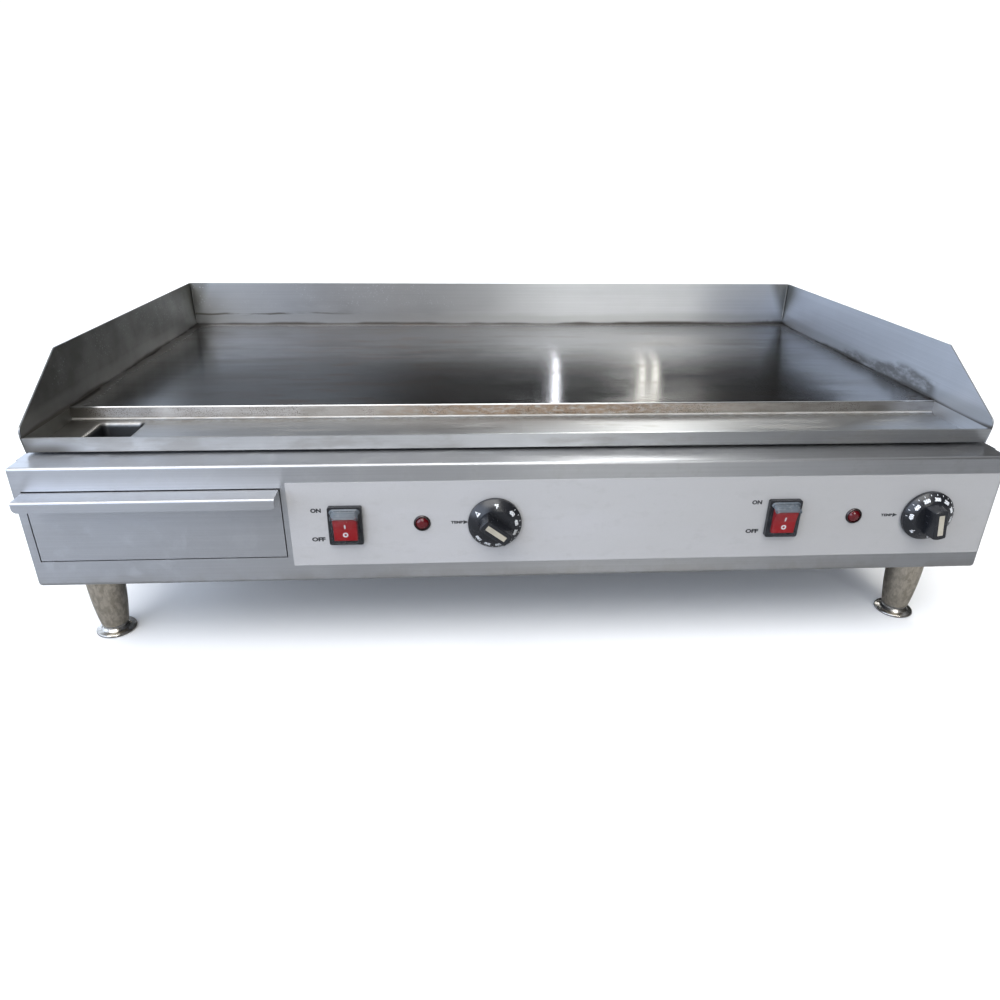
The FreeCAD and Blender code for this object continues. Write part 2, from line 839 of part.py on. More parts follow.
def element_path(zone):
    """The heater's line: runs across its zone joined by half circles, both ends turned down."""
    far_x = zone[0] + element_outer_margin
    near_x = zone[1] - element_inner_margin
    level = plate_base_z - element_radius
    low = level - element_drop
    end_x = near_x + element_drop_bend
    first = vector(end_x, run_y(0), low)
    points = [first, vector(end_x, run_y(0), level)]
    edges = rounded_run(points + [vector(far_x, run_y(0), level)], [element_drop_bend])
    for index in range(element_runs - 1):
        turn_x = far_x if index % 2 == 0 else near_x
        other_x = near_x if index % 2 == 0 else far_x
        outward = -1 if index % 2 == 0 else 1
        a = vector(turn_x, run_y(index), level)
        b = vector(turn_x + outward * element_pitch / 2, (run_y(index) + run_y(index + 1)) / 2, level)
        c = vector(turn_x, run_y(index + 1), level)
        edges.append(Part.Arc(a, b, c).toShape())
        if index < element_runs - 2:
            edges.append(Part.LineSegment(c, vector(other_x, run_y(index + 1), level)).toShape())
    last_y = run_y(element_runs - 1)
    edges += rounded_run([vector(far_x, last_y, level), vector(end_x, last_y, level),
                          vector(end_x, last_y, low)],
                         [element_drop_bend])
    return Part.Wire(edges), first


def heating_element(zone):
    """A mineral-filled heater tube pressed flat against the plate, with a terminal pin at each end."""
    path, first = element_path(zone)
    ring = Part.Wire(Part.Circle(first, vector(0, 0, 1), element_radius).toShape())
    tube = path.makePipeShell([ring], True, True)
    pins = [rod(element_pin_radius, end, end - vector(0, 0, element_pin_length))
            for end in element_ends(zone)]
    return fused([tube] + pins)


def element_ends(zone):
    x = zone[1] - element_inner_margin + element_drop_bend
    z = plate_base_z - element_radius - element_drop
    return [vector(x, run_y(0), z), vector(x, run_y(element_runs - 1), z)]


def clamp_bar_places(zone):
    near_x = zone[1] - element_inner_margin
    far_x = zone[0] + element_outer_margin
    step = (near_x - far_x) / clamp_bars_per_zone
    return [far_x + (index + 0.5) * step for index in range(clamp_bars_per_zone)]


def stud_places():
    return [(x, (run_y(gap) + run_y(gap + 1)) / 2)
            for zone in zones.values() for x in clamp_bar_places(zone) for gap in clamp_gaps]


def clamp_bars():
    bars = []
    top = plate_base_z - 2 * element_radius
    for zone in zones.values():
        for x in clamp_bar_places(zone):
            bar = rounded_block((x - clamp_bar_width / 2, x + clamp_bar_width / 2),
                                (run_y(0) - clamp_bar_overhang, run_y(element_runs - 1) + clamp_bar_overhang),
                                (top - clamp_bar_thickness, top), clamp_bar_corner, "z")
            holes = [rod(stud_radius + stud_fit, vector(x, y, top - clamp_bar_thickness - overcut),
                         vector(x, y, top + overcut))
                     for stud_x, y in stud_places() if abs(stud_x - x) < overcut]
            bars.append(bar.cut(group(holes)))
    return group(bars)


def clamp_studs():
    return group([rod(stud_radius, vector(x, y, plate_base_z - stud_length), vector(x, y, plate_base_z))
                  for x, y in stud_places()])


def clamp_nuts():
    top = plate_base_z - 2 * element_radius - clamp_bar_thickness
    return group([nut(nut_width, nut_height, stud_radius, vector(x, y, top), vector(0, 0, -1))
                  for x, y in stud_places()])


def shield_holes(low, high, radius):
    """Where the heater ends and the thermostat tubes pass down through the shield."""
    places = []
    for side, zone in zones.items():
        places += [(end.x, end.y) for end in element_ends(zone)]
        places.append((capillary_drop_x(side), run_y(0) + element_pitch / 2))
    return group([rod(radius, vector(x, y, low), vector(x, y, high)) for x, y in places])


def heat_shield():
    z = (shield_top_z - shield_sheet, shield_top_z)
    edge = side_face - side_top_flange - weld_gap
    sheet = block((-edge, edge), (shield_front_y, shield_back_y), z)
    return sheet.cut(shield_holes(z[0] - overcut, z[1] + overcut, insulation_hole))


def insulation_blanket():
    edge = side_face - side_top_flange - weld_gap - insulation_margin
    y = (rail_front_y + rail_flange + insulation_margin, rail_back_y - rail_flange - insulation_margin)
    blanket = rounded_block((-edge, edge), y, (shield_top_z, insulation_top_z), insulation_corner, "z")
    return blanket.cut(shield_holes(shield_top_z - overcut, insulation_top_z + overcut, insulation_hole))


# ---------------------------------------------------------------- thermostats and knobs
def thermostat_body(side):
    x = knob_places[side]
    body = centred_block(thermostat_width, thermostat_height, (panel_back_y, thermostat_back_y),
                         thermostat_corner, x, control_z)
    start = vector(x, panel_back_y - overcut, control_z)
    end = vector(x, panel_back_y + shaft_in_body + overcut, control_z)
    bore = rod(shaft_radius + pin_clearance, start, end)
    holes = [bore]
    for sign in (-1, 1):
        at = x + sign * thermostat_screw_spacing / 2
        holes.append(rod(screw_radius, vector(at, panel_back_y - overcut, control_z),
                         vector(at, label_face_y + thermostat_screw_length + screw_tip_room, control_z)))
    tabs = [block((x + place - tab_width / 2, x + place + tab_width / 2),
                  (thermostat_back_y - overcut, thermostat_back_y + tab_length),
                  (thermostat_tab_z() - tab_sheet / 2, thermostat_tab_z() + tab_sheet / 2))
            for place in (-tab_spacing / 2, tab_spacing / 2)]
    return fused([body] + tabs).cut(group(holes))


def thermostat_tab_z():
    return control_z - thermostat_height / 4


def thermostat_screws():
    screws = []
    for x in knob_places.values():
        for sign in (-1, 1):
            seat = vector(x + sign * thermostat_screw_spacing / 2, label_face_y, control_z)
            screws.append(screw(seat, vector(0, 1, 0), thermostat_screw_length))
    return group(screws)


def thermostat_shaft(side):
    """The D-shaped spindle, from inside the thermostat to inside the knob."""
    x = knob_places[side]
    front = label_face_y - knob_gap - shaft_in_knob
    back = panel_back_y + shaft_in_body
    round_bar = rod(shaft_radius, vector(x, front, control_z), vector(x, back, control_z))
    angle = math.radians(knob_mark_angles[side])
    flat = block((shaft_flat, shaft_radius + overcut), (front - overcut, label_face_y - knob_gap + overcut),
                 (-shaft_radius, shaft_radius))
    flat.rotate(vector(0, 0, 0), vector(0, 1, 0), -math.degrees(angle))
    flat.translate(vector(x, 0, control_z))
    return round_bar.cut(flat)


def knob(side):
    """A skirted dial knob with a bar grip, hollow behind round its hub, turned to its mark's angle."""
    skirt = turned([(0, 0), (knob_radius, 0), (knob_radius, knob_rim),
                    (knob_shoulder_radius, knob_shoulder, knob_crown), (0, knob_shoulder)], vector(0, 0, 0))
    bar = outline([(-grip_foot_width / 2, knob_rim), (grip_foot_width / 2, knob_rim),
                   (grip_top_width / 2, knob_height), (-grip_top_width / 2, knob_height)],
                  "x", -grip_length / 2, grip_length / 2)
    ends = turned([(0, 0), (grip_length / 2, 0), (grip_length / 2 - grip_end_taper, knob_height),
                   (0, knob_height)], vector(0, 0, 0))
    bar = bar.common(ends)
    bar = bar.makeFillet(grip_edge, edges_near(bar, lambda b: b.ZMax > knob_height - 1e-3))
    shape = fused([skirt, bar])
    inner = knob_radius - knob_wall
    hollow = turned([(knob_hub_radius, -overcut), (inner, -overcut), (inner, knob_rim - knob_skirt_edge),
                     (knob_shoulder_radius - knob_wall, knob_hollow), (knob_hub_radius, knob_hollow)],
                    vector(0, 0, 0))
    pocket = block((-insert_length / 2, insert_length / 2), (-insert_width / 2, insert_width / 2),
                   (knob_height - insert_depth, knob_height + overcut))
    bore = rod(shaft_radius + shaft_fit, vector(0, 0, -overcut), vector(0, 0, shaft_in_knob + shaft_fit))
    key = block((shaft_flat + shaft_fit, shaft_radius + overcut), (-shaft_radius, shaft_radius),
                (0, shaft_in_knob + overcut))
    shape = shape.cut(group([hollow, pocket, bore.cut(key)]))
    return stand_on_panel(shape, side)


def knob_insert(side):
    strip = block((-insert_length / 2, insert_length / 2), (-insert_width / 2, insert_width / 2),
                  (knob_height - insert_depth, knob_height))
    return stand_on_panel(strip, side)


def stand_on_panel(shape, side):
    """Turns a piece built along +Z to face the cook, with its +X side at the knob's mark angle."""
    shape = shape.copy()
    shape.rotate(vector(0, 0, 0), vector(0, 0, 1), knob_mark_angles[side])
    shape.rotate(vector(0, 0, 0), vector(1, 0, 0), 90)
    shape.translate(vector(knob_places[side], label_face_y - knob_gap, control_z))
    return shape


def capillary_drop_x(side):
    return zones[side][1] - element_inner_margin / 2 + element_radius


def capillary_bulb_start(side):
    return zones[side][0] + bulb_from_edge


def capillary(side):
    """The sensing bulb under the plate and the thin tube that joins it to the thermostat."""
    y = run_y(0) + element_pitch / 2
    level = plate_base_z - bulb_radius
    bulb_end = capillary_bulb_start(side) + bulb_length
    bulb = rod(bulb_radius, vector(capillary_bulb_start(side), y, level), vector(bulb_end, y, level))
    drop_x = capillary_drop_x(side)
    entry_x = knob_places[side] + capillary_side
    entry_z = control_z + capillary_rise
    points = [vector(bulb_end - capillary_in_bulb, y, level), vector(drop_x, y, level),
              vector(drop_x, y, entry_z),
              vector(entry_x, thermostat_back_y + capillary_lead_in, entry_z),
              vector(entry_x, thermostat_back_y, entry_z)]
    return fused([bulb, pipe(points, capillary_bend, capillary_radius)])


def bulb_clips():
    """Saddle clips welded under the plate, two on each bulb."""
    clips = []
    level = plate_base_z - bulb_radius
    y = run_y(0) + element_pitch / 2
    outer = bulb_radius + clip_sheet
    for side in zones:
        start = capillary_bulb_start(side)
        for x in (start + clip_inset, start + bulb_length - clip_inset):
            ends = (x - clip_width / 2, x + clip_width / 2)
            saddle = rod(outer, vector(ends[0], y, level), vector(ends[1], y, level))
            sides = block(ends, (y - outer, y + outer), (level, plate_base_z))
            foot = block(ends, (y - outer - clip_flange, y + outer + clip_flange),
                         (plate_base_z - clip_sheet, plate_base_z))
            bore = bulb_radius + pin_clearance
            inside = rod(bore, vector(ends[0] - overcut, y, level), vector(ends[1] + overcut, y, level))
            room = block((ends[0] - overcut, ends[1] + overcut), (y - bore, y + bore),
                         (level, plate_base_z + overcut))
            clips.append(fused([saddle, sides, foot]).cut(group([inside, room])))
    return group(clips)


# ---------------------------------------------------------------- switches
def switch_housing(side):
    """The switch's moulded case and bezel, hollowed for the rocker, with its two tabs behind."""
    x = switch_places[side]
    bezel = centred_block(bezel_width, bezel_height, (bezel_face_y, label_face_y), bezel_corner, x, control_z)
    case = centred_block(housing_width, housing_height, (label_face_y - overcut, housing_back_y),
                         housing_corner, x, control_z)
    tabs = [switch_tab(side, place) for place in (-1, 1)]
    opening = block((x - rocker_width / 2 - rocker_room, x + rocker_width / 2 + rocker_room),
                    (bezel_face_y - overcut, rocker_pivot_y + rocker_tail + tail_room),
                    (control_z - rocker_shoulder_height / 2 - rocker_room,
                     control_z + rocker_shoulder_height / 2 + rocker_room))
    mouth_half = rocker_height / 2 + 2 * rocker_room
    mouth = block((x - rocker_width / 2 - rocker_room, x + rocker_width / 2 + rocker_room),
                  (bezel_face_y - overcut, label_face_y - overcut),
                  (control_z - mouth_half, control_z + mouth_half))
    pin_reach = rocker_width / 2 + rocker_pin_length + housing_fit
    pins = rod(rocker_pin_radius + pin_clearance, vector(x - pin_reach, rocker_pivot_y, control_z),
               vector(x + pin_reach, rocker_pivot_y, control_z))
    return fused([bezel, case] + tabs).cut(group([fused([opening, mouth, pins])]))


def switch_tab(side, place):
    x = switch_places[side]
    z = control_z + place * tab_spacing / 2
    return block((x - tab_width / 2, x + tab_width / 2),
                 (housing_back_y - overcut, housing_back_y + tab_length),
                 (z - tab_sheet / 2, z + tab_sheet / 2))


def rocker(side):
    """The rocker at OFF: its lower half pressed in, pivoting on a pin moulded at each side."""
    x = switch_places[side]
    y = rocker_pivot_y
    half = rocker_height / 2
    points = [(y + rocker_tail, control_z - rocker_tail_height / 2),
              (y - rocker_shoulder, control_z - rocker_shoulder_height / 2),
              (y - rocker_face, control_z - half),
              (y - rocker_face + rocker_dish, control_z), (y - rocker_face, control_z + half),
              (y - rocker_shoulder, control_z + rocker_shoulder_height / 2),
              (y + rocker_tail, control_z + rocker_tail_height / 2)]
    body = outline(points, "x", x - rocker_width / 2, x + rocker_width / 2)
    front = edges_near(body, lambda b: b.YMin < y - rocker_face + rocker_dish / 2 and b.XLength > overcut)
    body = body.makeFillet(rocker_edge, front)
    reach = rocker_width / 2 + rocker_pin_length
    pins = rod(rocker_pin_radius, vector(x - reach, y, control_z), vector(x + reach, y, control_z))
    whole = fused([body, pins])
    whole.rotate(vector(x, y, control_z), vector(1, 0, 0), rocker_tilt)
    return whole


def switch_boot(side):
    """The clear splash boot: a flange on the bezel, a stepped bellows and a flat face."""
    x = switch_places[side]
    inner_width = rocker_width + 2 * boot_side_room
    inner_height = rocker_height + 2 * boot_end_room
    width = inner_width + 2 * boot_wall
    height = inner_height + 2 * boot_wall
    top = bezel_face_y - boot_height
    flange = centred_block(width + 2 * boot_flange, height + 2 * boot_flange,
                           (bezel_face_y - boot_flange_height, bezel_face_y),
                           boot_corner + boot_flange, x, control_z)
    step = centred_block(width + boot_step, height + boot_step,
                         (bezel_face_y - boot_step_height, bezel_face_y), boot_corner + boot_step / 2,
                         x, control_z)
    face = centred_block(width, height, (top, bezel_face_y), boot_corner, x, control_z)
    face = face.makeFillet(boot_edge, edges_near(face, lambda b: thin(b.YMin, b.YMax, top)))
    room = centred_block(inner_width, inner_height, (top + boot_wall, bezel_face_y + overcut),
                         boot_corner - boot_wall, x, control_z)
    return fused([flange, step, face]).cut(room)


# ---------------------------------------------------------------- lamps
def lamp_body(side):
    """The lamp's bright ring, its barrel behind the panel and two tabs."""
    centre = vector(lamp_places[side], label_face_y, control_z)
    mouth = lamp_lens_radius + pin_clearance
    ring = turned([(mouth, 0), (lamp_ring_radius, 0), (lamp_ring_radius, lamp_ring_edge),
                   (mouth, lamp_ring_depth, lamp_ring_crown)], centre, (0, -1, 0))
    web = rod(lamp_ring_radius - lamp_web_inset, centre - vector(0, lamp_seat, 0), centre)
    barrel = rod(lamp_barrel_radius, centre, centre + vector(0, lamp_barrel_length, 0))
    cup = rod(lamp_cup_radius + shaft_fit, centre - vector(0, overcut, 0),
              centre + vector(0, lamp_cup_depth, 0))
    tabs = [block((place - tab_sheet / 2, place + tab_sheet / 2),
                  (centre.y + lamp_barrel_length - overcut, centre.y + lamp_barrel_length + tab_length),
                  (control_z - lamp_tab_width / 2, control_z + lamp_tab_width / 2))
            for place in (centre.x - lamp_tab_spacing / 2, centre.x + lamp_tab_spacing / 2)]
    return fused([ring, web, barrel] + tabs).cut(cup)


def lamp_lens(side):
    """The domed red lens, with a spigot in the lamp's cup."""
    centre = vector(lamp_places[side], label_face_y, control_z)
    return turned([(0, -lamp_spigot), (lamp_cup_radius, -lamp_spigot), (lamp_cup_radius, lamp_seat),
                   (lamp_lens_radius, lamp_seat),
                   (lamp_lens_radius, lamp_lens_edge),
                   (0, lamp_lens_rise, dome_bow(lamp_lens_radius, lamp_lens_rise - lamp_lens_edge))],
                  centre, (0, -1, 0))


# ---------------------------------------------------------------- drawer
def drawer_front():
    """The flush drawer front, whose top edge is folded forward and down as the pull."""
    pull_y = front_y - handle_reach + drawer_sheet
    shelf_z = drawer_top_z - drawer_sheet
    path = [(pull_y, drawer_top_z - handle_drop), (pull_y, shelf_z), (front_y, shelf_z),
            (front_y, drawer_bottom_z)]
    sheet = folded_sheet(path, drawer_sheet, "x", drawer_left, drawer_right)
    corners = edges_near(sheet, lambda b: b.YLength < 2 * drawer_sheet and b.XLength < 1e-3
                         and thin(b.ZMin, b.ZMax, drawer_top_z - handle_drop))
    return sheet.makeFillet(handle_corner, corners)


def drawer_pan():
    """The welded grease pan behind the drawer front, open at the top."""
    outer = rounded_block((pan_left, pan_right), (pan_front_y, pan_back_y), (pan_bottom_z, pan_top_z),
                          pan_corner, "z")
    inner = rounded_block((pan_left + pan_sheet, pan_right - pan_sheet),
                          (pan_front_y + pan_sheet, pan_back_y - pan_sheet),
                          (pan_bottom_z + pan_sheet, pan_top_z + overcut), pan_corner - pan_sheet, "z")
    return outer.cut(inner)


def drawer_runners():
    """Two Z-shaped rails that stand on the case's floor and carry the pan's bottom edges."""
    top = pan_bottom_z - slide_clearance
    y = (panel_back_y + 2 * case_sheet, pan_back_y)
    shelf = top - runner_sheet
    pair = []
    for edge, inward in ((pan_left, 1), (pan_right, -1)):
        web = edge + inward * runner_inset
        path = [(web - inward * runner_flange, base_top_z), (web, base_top_z), (web, shelf),
                (web + inward * runner_flange, shelf)]
        pair.append(folded_sheet(path if inward > 0 else path[::-1], runner_sheet, "y", *y))
    return group(pair)


def drawer_bay():
    """The wall beside and behind the drawer that keeps grease and crumbs off the wiring."""
    right = drawer_right + bay_gap
    back = pan_back_y + bay_gap
    path = [(-side_inner + weld_gap, back), (right, back),
            (right, panel_back_y + 2 * case_sheet + fold_radius)]
    return folded_sheet(path, case_sheet, "z", base_top_z, tray_base_z - rail_height - overcut)


# ---------------------------------------------------------------- legs and feet
def leg_places():
    return {"front_left": (-leg_x, front_y + leg_inset_y), "front_right": (leg_x, front_y + leg_inset_y),
            "rear_left": (-leg_x, rear_y - leg_inset_y), "rear_right": (leg_x, rear_y - leg_inset_y)}


def leg(x, y):
    """A tapered leg with a stud through the case's floor and a bore for the screwed foot."""
    stud_top = leg_top_z + leg_stud_length
    bore = foot_shank_radius + foot_shank_clearance
    bore_top = leg_bottom_z + foot_shank_length + foot_end_room
    return turned([(bore, leg_bottom_z), (leg_bottom_radius - leg_edge, leg_bottom_z),
                   (leg_bottom_radius, leg_bottom_z + leg_edge),
                   (leg_top_radius, leg_top_z - leg_edge, leg_bulge),
                   (leg_top_radius - leg_edge, leg_top_z), (leg_stud_radius, leg_top_z),
                   (leg_stud_radius, stud_top),
                   (0, stud_top), (0, bore_top), (bore, bore_top)], vector(x, y, 0))


def foot(x, y):
    """A screwed foot: a round flange, a short neck and a shank inside the leg."""
    shank_top = leg_bottom_z + foot_shank_length
    return turned([(0, 0), (foot_radius - foot_edge, 0), (foot_radius, foot_edge),
                   (foot_radius - foot_edge, foot_flange, foot_edge_crown),
                   (foot_neck_radius + foot_shoulder, foot_flange + foot_edge),
                   (foot_neck_radius, foot_flange + foot_edge + foot_shoulder),
                   (foot_neck_radius, leg_bottom_z), (foot_shank_radius, leg_bottom_z),
                   (foot_shank_radius, shank_top), (0, shank_top)], vector(x, y, 0))


def leg_nuts():
    return group([nut(leg_nut_width, leg_nut_height, leg_stud_radius, vector(x, y, base_top_z),
                      vector(0, 0, 1))
                  for x, y in leg_places().values()])


# ---------------------------------------------------------------- supply and wiring
def cable_gland():
    """The supply cord's gland in the rear panel, with its locknut inside the case."""
    start = vector(gland_x, rear_y, gland_z)
    out = vector(0, 1, 0)
    body = hexagon(gland_hex, start, start + out * gland_hex_length)
    dome = turned([(0, gland_hex_length), (gland_dome_radius, gland_hex_length),
                   (gland_dome_radius, gland_reach - gland_dome_taper),
                   (gland_bore + gland_mouth_wall, gland_reach, gland_dome_crown), (0, gland_reach)],
                  start, (0, 1, 0))
    thread = rod(gland_thread_radius, start - out * gland_inner_length, start)
    bore = rod(gland_bore, start - out * (gland_inner_length + overcut),
               start + out * (gland_reach + overcut))
    shell = fused([body, dome, thread]).cut(bore)
    locknut = nut(gland_hex, gland_nut_height, gland_thread_radius, start - out * case_sheet, -out)
    return group([shell, locknut])


def bonding_stud():
    """The bonding stud beside the gland: a stud with a washer and a nut each side of the panel."""
    start = vector(bonding_x, rear_y, gland_z)
    out = vector(0, 1, 0)
    inside = start - out * case_sheet
    stud = rod(bonding_radius, inside - out * bonding_washer_radius, start + out * bonding_length)
    washer = rod(bonding_washer_radius, start, start + out * bonding_washer)
    outer_nut = hexagon(nut_width, start + out * bonding_washer, start + out * (bonding_washer + nut_height))
    inner_nut = hexagon(nut_width, inside - out * nut_height, inside)
    return fused([stud, washer, outer_nut, inner_nut])


def terminal_block():
    """The supply terminal block on the case's floor, with a wire hole in front of each pole."""
    block_x = (gland_x - block_length / 2, gland_x + block_length / 2)
    body = block(block_x, (block_y - block_width / 2, block_y + block_width / 2),
                 (base_top_z, base_top_z + block_height))
    holes = [rod(block_hole_radius, pole, pole + vector(0, block_hole_depth, 0)) for pole in block_poles_at()]
    top = base_top_z + block_height
    clamps = [rod(block_screw_radius, vector(pole.x, block_y, top - block_screw_depth),
                  vector(pole.x, block_y, top + overcut)) for pole in block_poles_at()]
    return body.cut(group(holes + clamps))


def block_poles_at():
    pitch = block_length / block_poles
    return [vector(gland_x + (index - (block_poles - 1) / 2) * pitch, block_y - block_width / 2,
                   base_top_z + block_height / 3) for index in range(block_poles)]


def wiring():
    """The leads of both zones: block to switch, switch to thermostat, heater to block and thermostat."""
    back = vector(0, wire_stub, 0)
    down = vector(0, 0, -wire_stub)
    poles = block_poles_at()
    leads = []
    for order, side in enumerate(("left", "right")):
        level = base_top_z + wire_floor + order * wire_spacing
        front_lane = front_y + wire_front_lane + order * wire_lane_step
        rear_lane = front_lane + wire_rear_lane - wire_front_lane
        switch = vector(switch_places[side], housing_back_y + tab_length, control_z)
        feed = switch + vector(0, 0, tab_spacing / 2)
        switched = switch - vector(0, 0, tab_spacing / 2)
        live_pole = poles[order]
        leads.append(pipe([feed, feed + back * 1.5, vector(feed.x, feed.y + wire_stub * 1.5, level),
                           vector(feed.x, front_lane, level), vector(live_pole.x, rear_lane, level),
                           vector(live_pole.x, live_pole.y - wire_stub * 1.5, level),
                           live_pole - back, live_pole], wire_bend, wire_radius))
        inlet, outlet = [vector(knob_places[side] + place, thermostat_back_y + tab_length, thermostat_tab_z())
                         for place in (-tab_spacing / 2, tab_spacing / 2)]
        leads.append(pipe([switched, switched + back, inlet + back, inlet], wire_bend, wire_radius))
        near, far = [end - vector(0, 0, element_pin_length) for end in element_ends(zones[side])]
        leads.append(pipe([outlet, outlet + back, near + down, near], element_wire_bend, wire_radius))
        neutral_pole = poles[2 + order]
        across = neutral_pole.y - wire_stub * (4 + order)
        above = level + wire_spacing * 2
        leads.append(pipe([far, far + down, vector(far.x, across, above),
                           vector(neutral_pole.x, across, above), neutral_pole - back, neutral_pole],
                          element_wire_bend, wire_radius))
    return group(leads)


def case_screws():
    return group([screw(seat, inward, case_screw_length) for seat, inward in case_screw_places()])


# ---------------------------------------------------------------- every node
nodes = {
    "front_panel": front_panel().cut(screw_clearances()),
    "left_side_panel": side_panel(-1).cut(screw_clearances()),
    "right_side_panel": side_panel(1).cut(screw_clearances()),
    "rear_panel": rear_panel(),
    "base_pan": base_pan(),
    "control_label": control_label(),
    "case_screws": case_screws(),
    "griddle_plate": griddle_plate(),
    "left_splash_guard": side_guard(-1),
    "right_splash_guard": side_guard(1),
    "back_splash_guard": back_guard(),
    "grease_trough": grease_trough(),
    "drain_chute": drain_chute(),
    "plate_rails": plate_rails(),
    "left_heating_element": heating_element(zones["left"]),
    "right_heating_element": heating_element(zones["right"]),
    "element_clamp_bars": clamp_bars(),
    "clamp_studs": clamp_studs(),
    "clamp_nuts": clamp_nuts(),
    "heat_shield": heat_shield(),
    "insulation_blanket": insulation_blanket(),
    "bulb_clips": bulb_clips(),
    "thermostat_screws": thermostat_screws(),
    "drawer_front": drawer_front(),
    "drawer_pan": drawer_pan(),
    "drawer_runners": drawer_runners(),
    "drawer_bay": drawer_bay(),
    "leg_nuts": leg_nuts(),
    "cable_gland": cable_gland(),
    "bonding_stud": bonding_stud(),
    "terminal_block": terminal_block(),
    "wiring": wiring(),
}
for side in ("left", "right"):
    nodes[side + "_thermostat_body"] = thermostat_body(side)
    nodes[side + "_thermostat_shaft"] = thermostat_shaft(side)
    nodes[side + "_thermostat_capillary"] = capillary(side)
    nodes[side + "_knob"] = knob(side)
    nodes[side + "_knob_insert"] = knob_insert(side)
    nodes[side + "_switch_housing"] = switch_housing(side)
    nodes[side + "_switch_rocker"] = rocker(side)
    nodes[side + "_switch_boot"] = switch_boot(side)
    nodes[side + "_lamp_body"] = lamp_body(side)
    nodes[side + "_lamp_lens"] = lamp_lens(side)
for place, (x, y) in leg_places().items():
    nodes[place + "_leg"] = leg(x, y)
    nodes[place + "_foot"] = foot(x, y)

os.makedirs("parts", exist_ok=True)
for name, shape in nodes.items():
    shape.exportStep("parts/" + name + ".step")
print(len(nodes), "nodes; front face at y", front_y, "ledge at z", ledge_z)
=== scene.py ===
# %% [markdown]
# # A flat top griddle, dressed in Blender
# The object is an electric counter griddle: a folded steel case on four legs, a thick steel cooking plate
# inside a three-sided splash guard, a grease trough with a drain, a drawer under it, and two sets of
# controls. Every part with a real size was drawn before and is loaded here as a fixed frame. This file gives
# it its finishes, and makes the small pieces that are easier to grow from a rule than to draw: screw heads,
# weld beads, the ground seam, dial marks, grip ribs, soft boots and printing. It starts with the frame and
# the frame's own box.

# %% Load the frame
import json
import math

import bpy
import bmesh
from mathutils import Matrix, Vector
from mathutils.bvhtree import BVHTree


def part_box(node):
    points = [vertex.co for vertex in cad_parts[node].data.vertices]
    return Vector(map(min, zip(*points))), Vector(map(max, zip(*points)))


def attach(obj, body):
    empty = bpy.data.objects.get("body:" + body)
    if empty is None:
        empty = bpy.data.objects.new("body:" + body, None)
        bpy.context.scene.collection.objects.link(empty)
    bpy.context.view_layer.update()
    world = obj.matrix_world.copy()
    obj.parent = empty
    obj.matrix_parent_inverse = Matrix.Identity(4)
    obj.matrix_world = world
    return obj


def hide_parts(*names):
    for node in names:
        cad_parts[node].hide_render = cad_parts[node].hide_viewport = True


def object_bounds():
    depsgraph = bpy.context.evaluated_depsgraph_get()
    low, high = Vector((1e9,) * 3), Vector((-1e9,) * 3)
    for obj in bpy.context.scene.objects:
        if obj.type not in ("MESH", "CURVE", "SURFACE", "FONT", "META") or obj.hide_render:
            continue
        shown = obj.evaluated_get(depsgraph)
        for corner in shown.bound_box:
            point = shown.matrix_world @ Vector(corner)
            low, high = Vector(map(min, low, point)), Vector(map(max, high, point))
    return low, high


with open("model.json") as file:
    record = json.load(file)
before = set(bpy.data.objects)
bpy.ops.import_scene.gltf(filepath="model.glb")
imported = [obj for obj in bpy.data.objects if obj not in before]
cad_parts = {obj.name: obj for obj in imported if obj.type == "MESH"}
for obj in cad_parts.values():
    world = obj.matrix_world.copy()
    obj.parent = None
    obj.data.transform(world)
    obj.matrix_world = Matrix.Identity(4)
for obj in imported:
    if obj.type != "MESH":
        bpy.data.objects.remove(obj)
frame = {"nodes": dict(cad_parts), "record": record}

MM = 0.001
cad_box = [list(corner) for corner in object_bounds()]
scene = bpy.context.scene


# %% [markdown]
# ## The camera
# The eye stands a little above the guards, close to the front and slightly left of the middle, and looks
# down. Such a near eye makes the front edge much wider than the back one. Its place comes from the case:
# so far in front of the front face, and so far above the case's top ledge. The lens is wide, 26 mm on a
# 36 mm sensor, and the horizon is tipped by less than a degree, as in a picture taken by hand.

# %% Camera
front_low, front_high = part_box("front_panel")
ledge_top = front_high.z
eye_to_left = 62.9 * MM
eye_before_front = 601.1 * MM
eye_above_ledge = 245.4 * MM
eye = Vector((-eye_to_left, front_low.y - eye_before_front, ledge_top + eye_above_ledge))
looking_down = math.radians(25.1)
turned_right = math.radians(3.7)
tipped = math.radians(0.7)
ahead = Vector((math.sin(turned_right), math.cos(turned_right), 0.0))
across = Vector((math.cos(turned_right), -math.sin(turned_right), 0.0))
forward = ahead * math.cos(looking_down) - Vector((0, 0, 1)) * math.sin(looking_down)
upward = Vector((0, 0, 1)) * math.cos(looking_down) + ahead * math.sin(looking_down)
right = across * math.cos(tipped) + upward * math.sin(tipped)
up = upward * math.cos(tipped) - across * math.sin(tipped)
lens = bpy.data.cameras.new("camera")
lens.sensor_width = 36.0
lens.lens = 26.18
camera = bpy.data.objects.new("camera", lens)
camera.matrix_world = Matrix.Translation(eye) @ Matrix((right, up, -forward)).transposed().to_4x4()
scene.collection.objects.link(camera)
scene.camera = camera
print("camera at", [round(value, 4) for value in eye])


# %% [markdown]
# ## A hand for wiring nodes
# Materials, light and Geometry Nodes are all node trees. `add` makes one node, sets its options and fills
# its inputs: a plain value is set on the socket, and another node's output is linked to it. That keeps each
# tree readable as a list of steps, in the order in which they work.

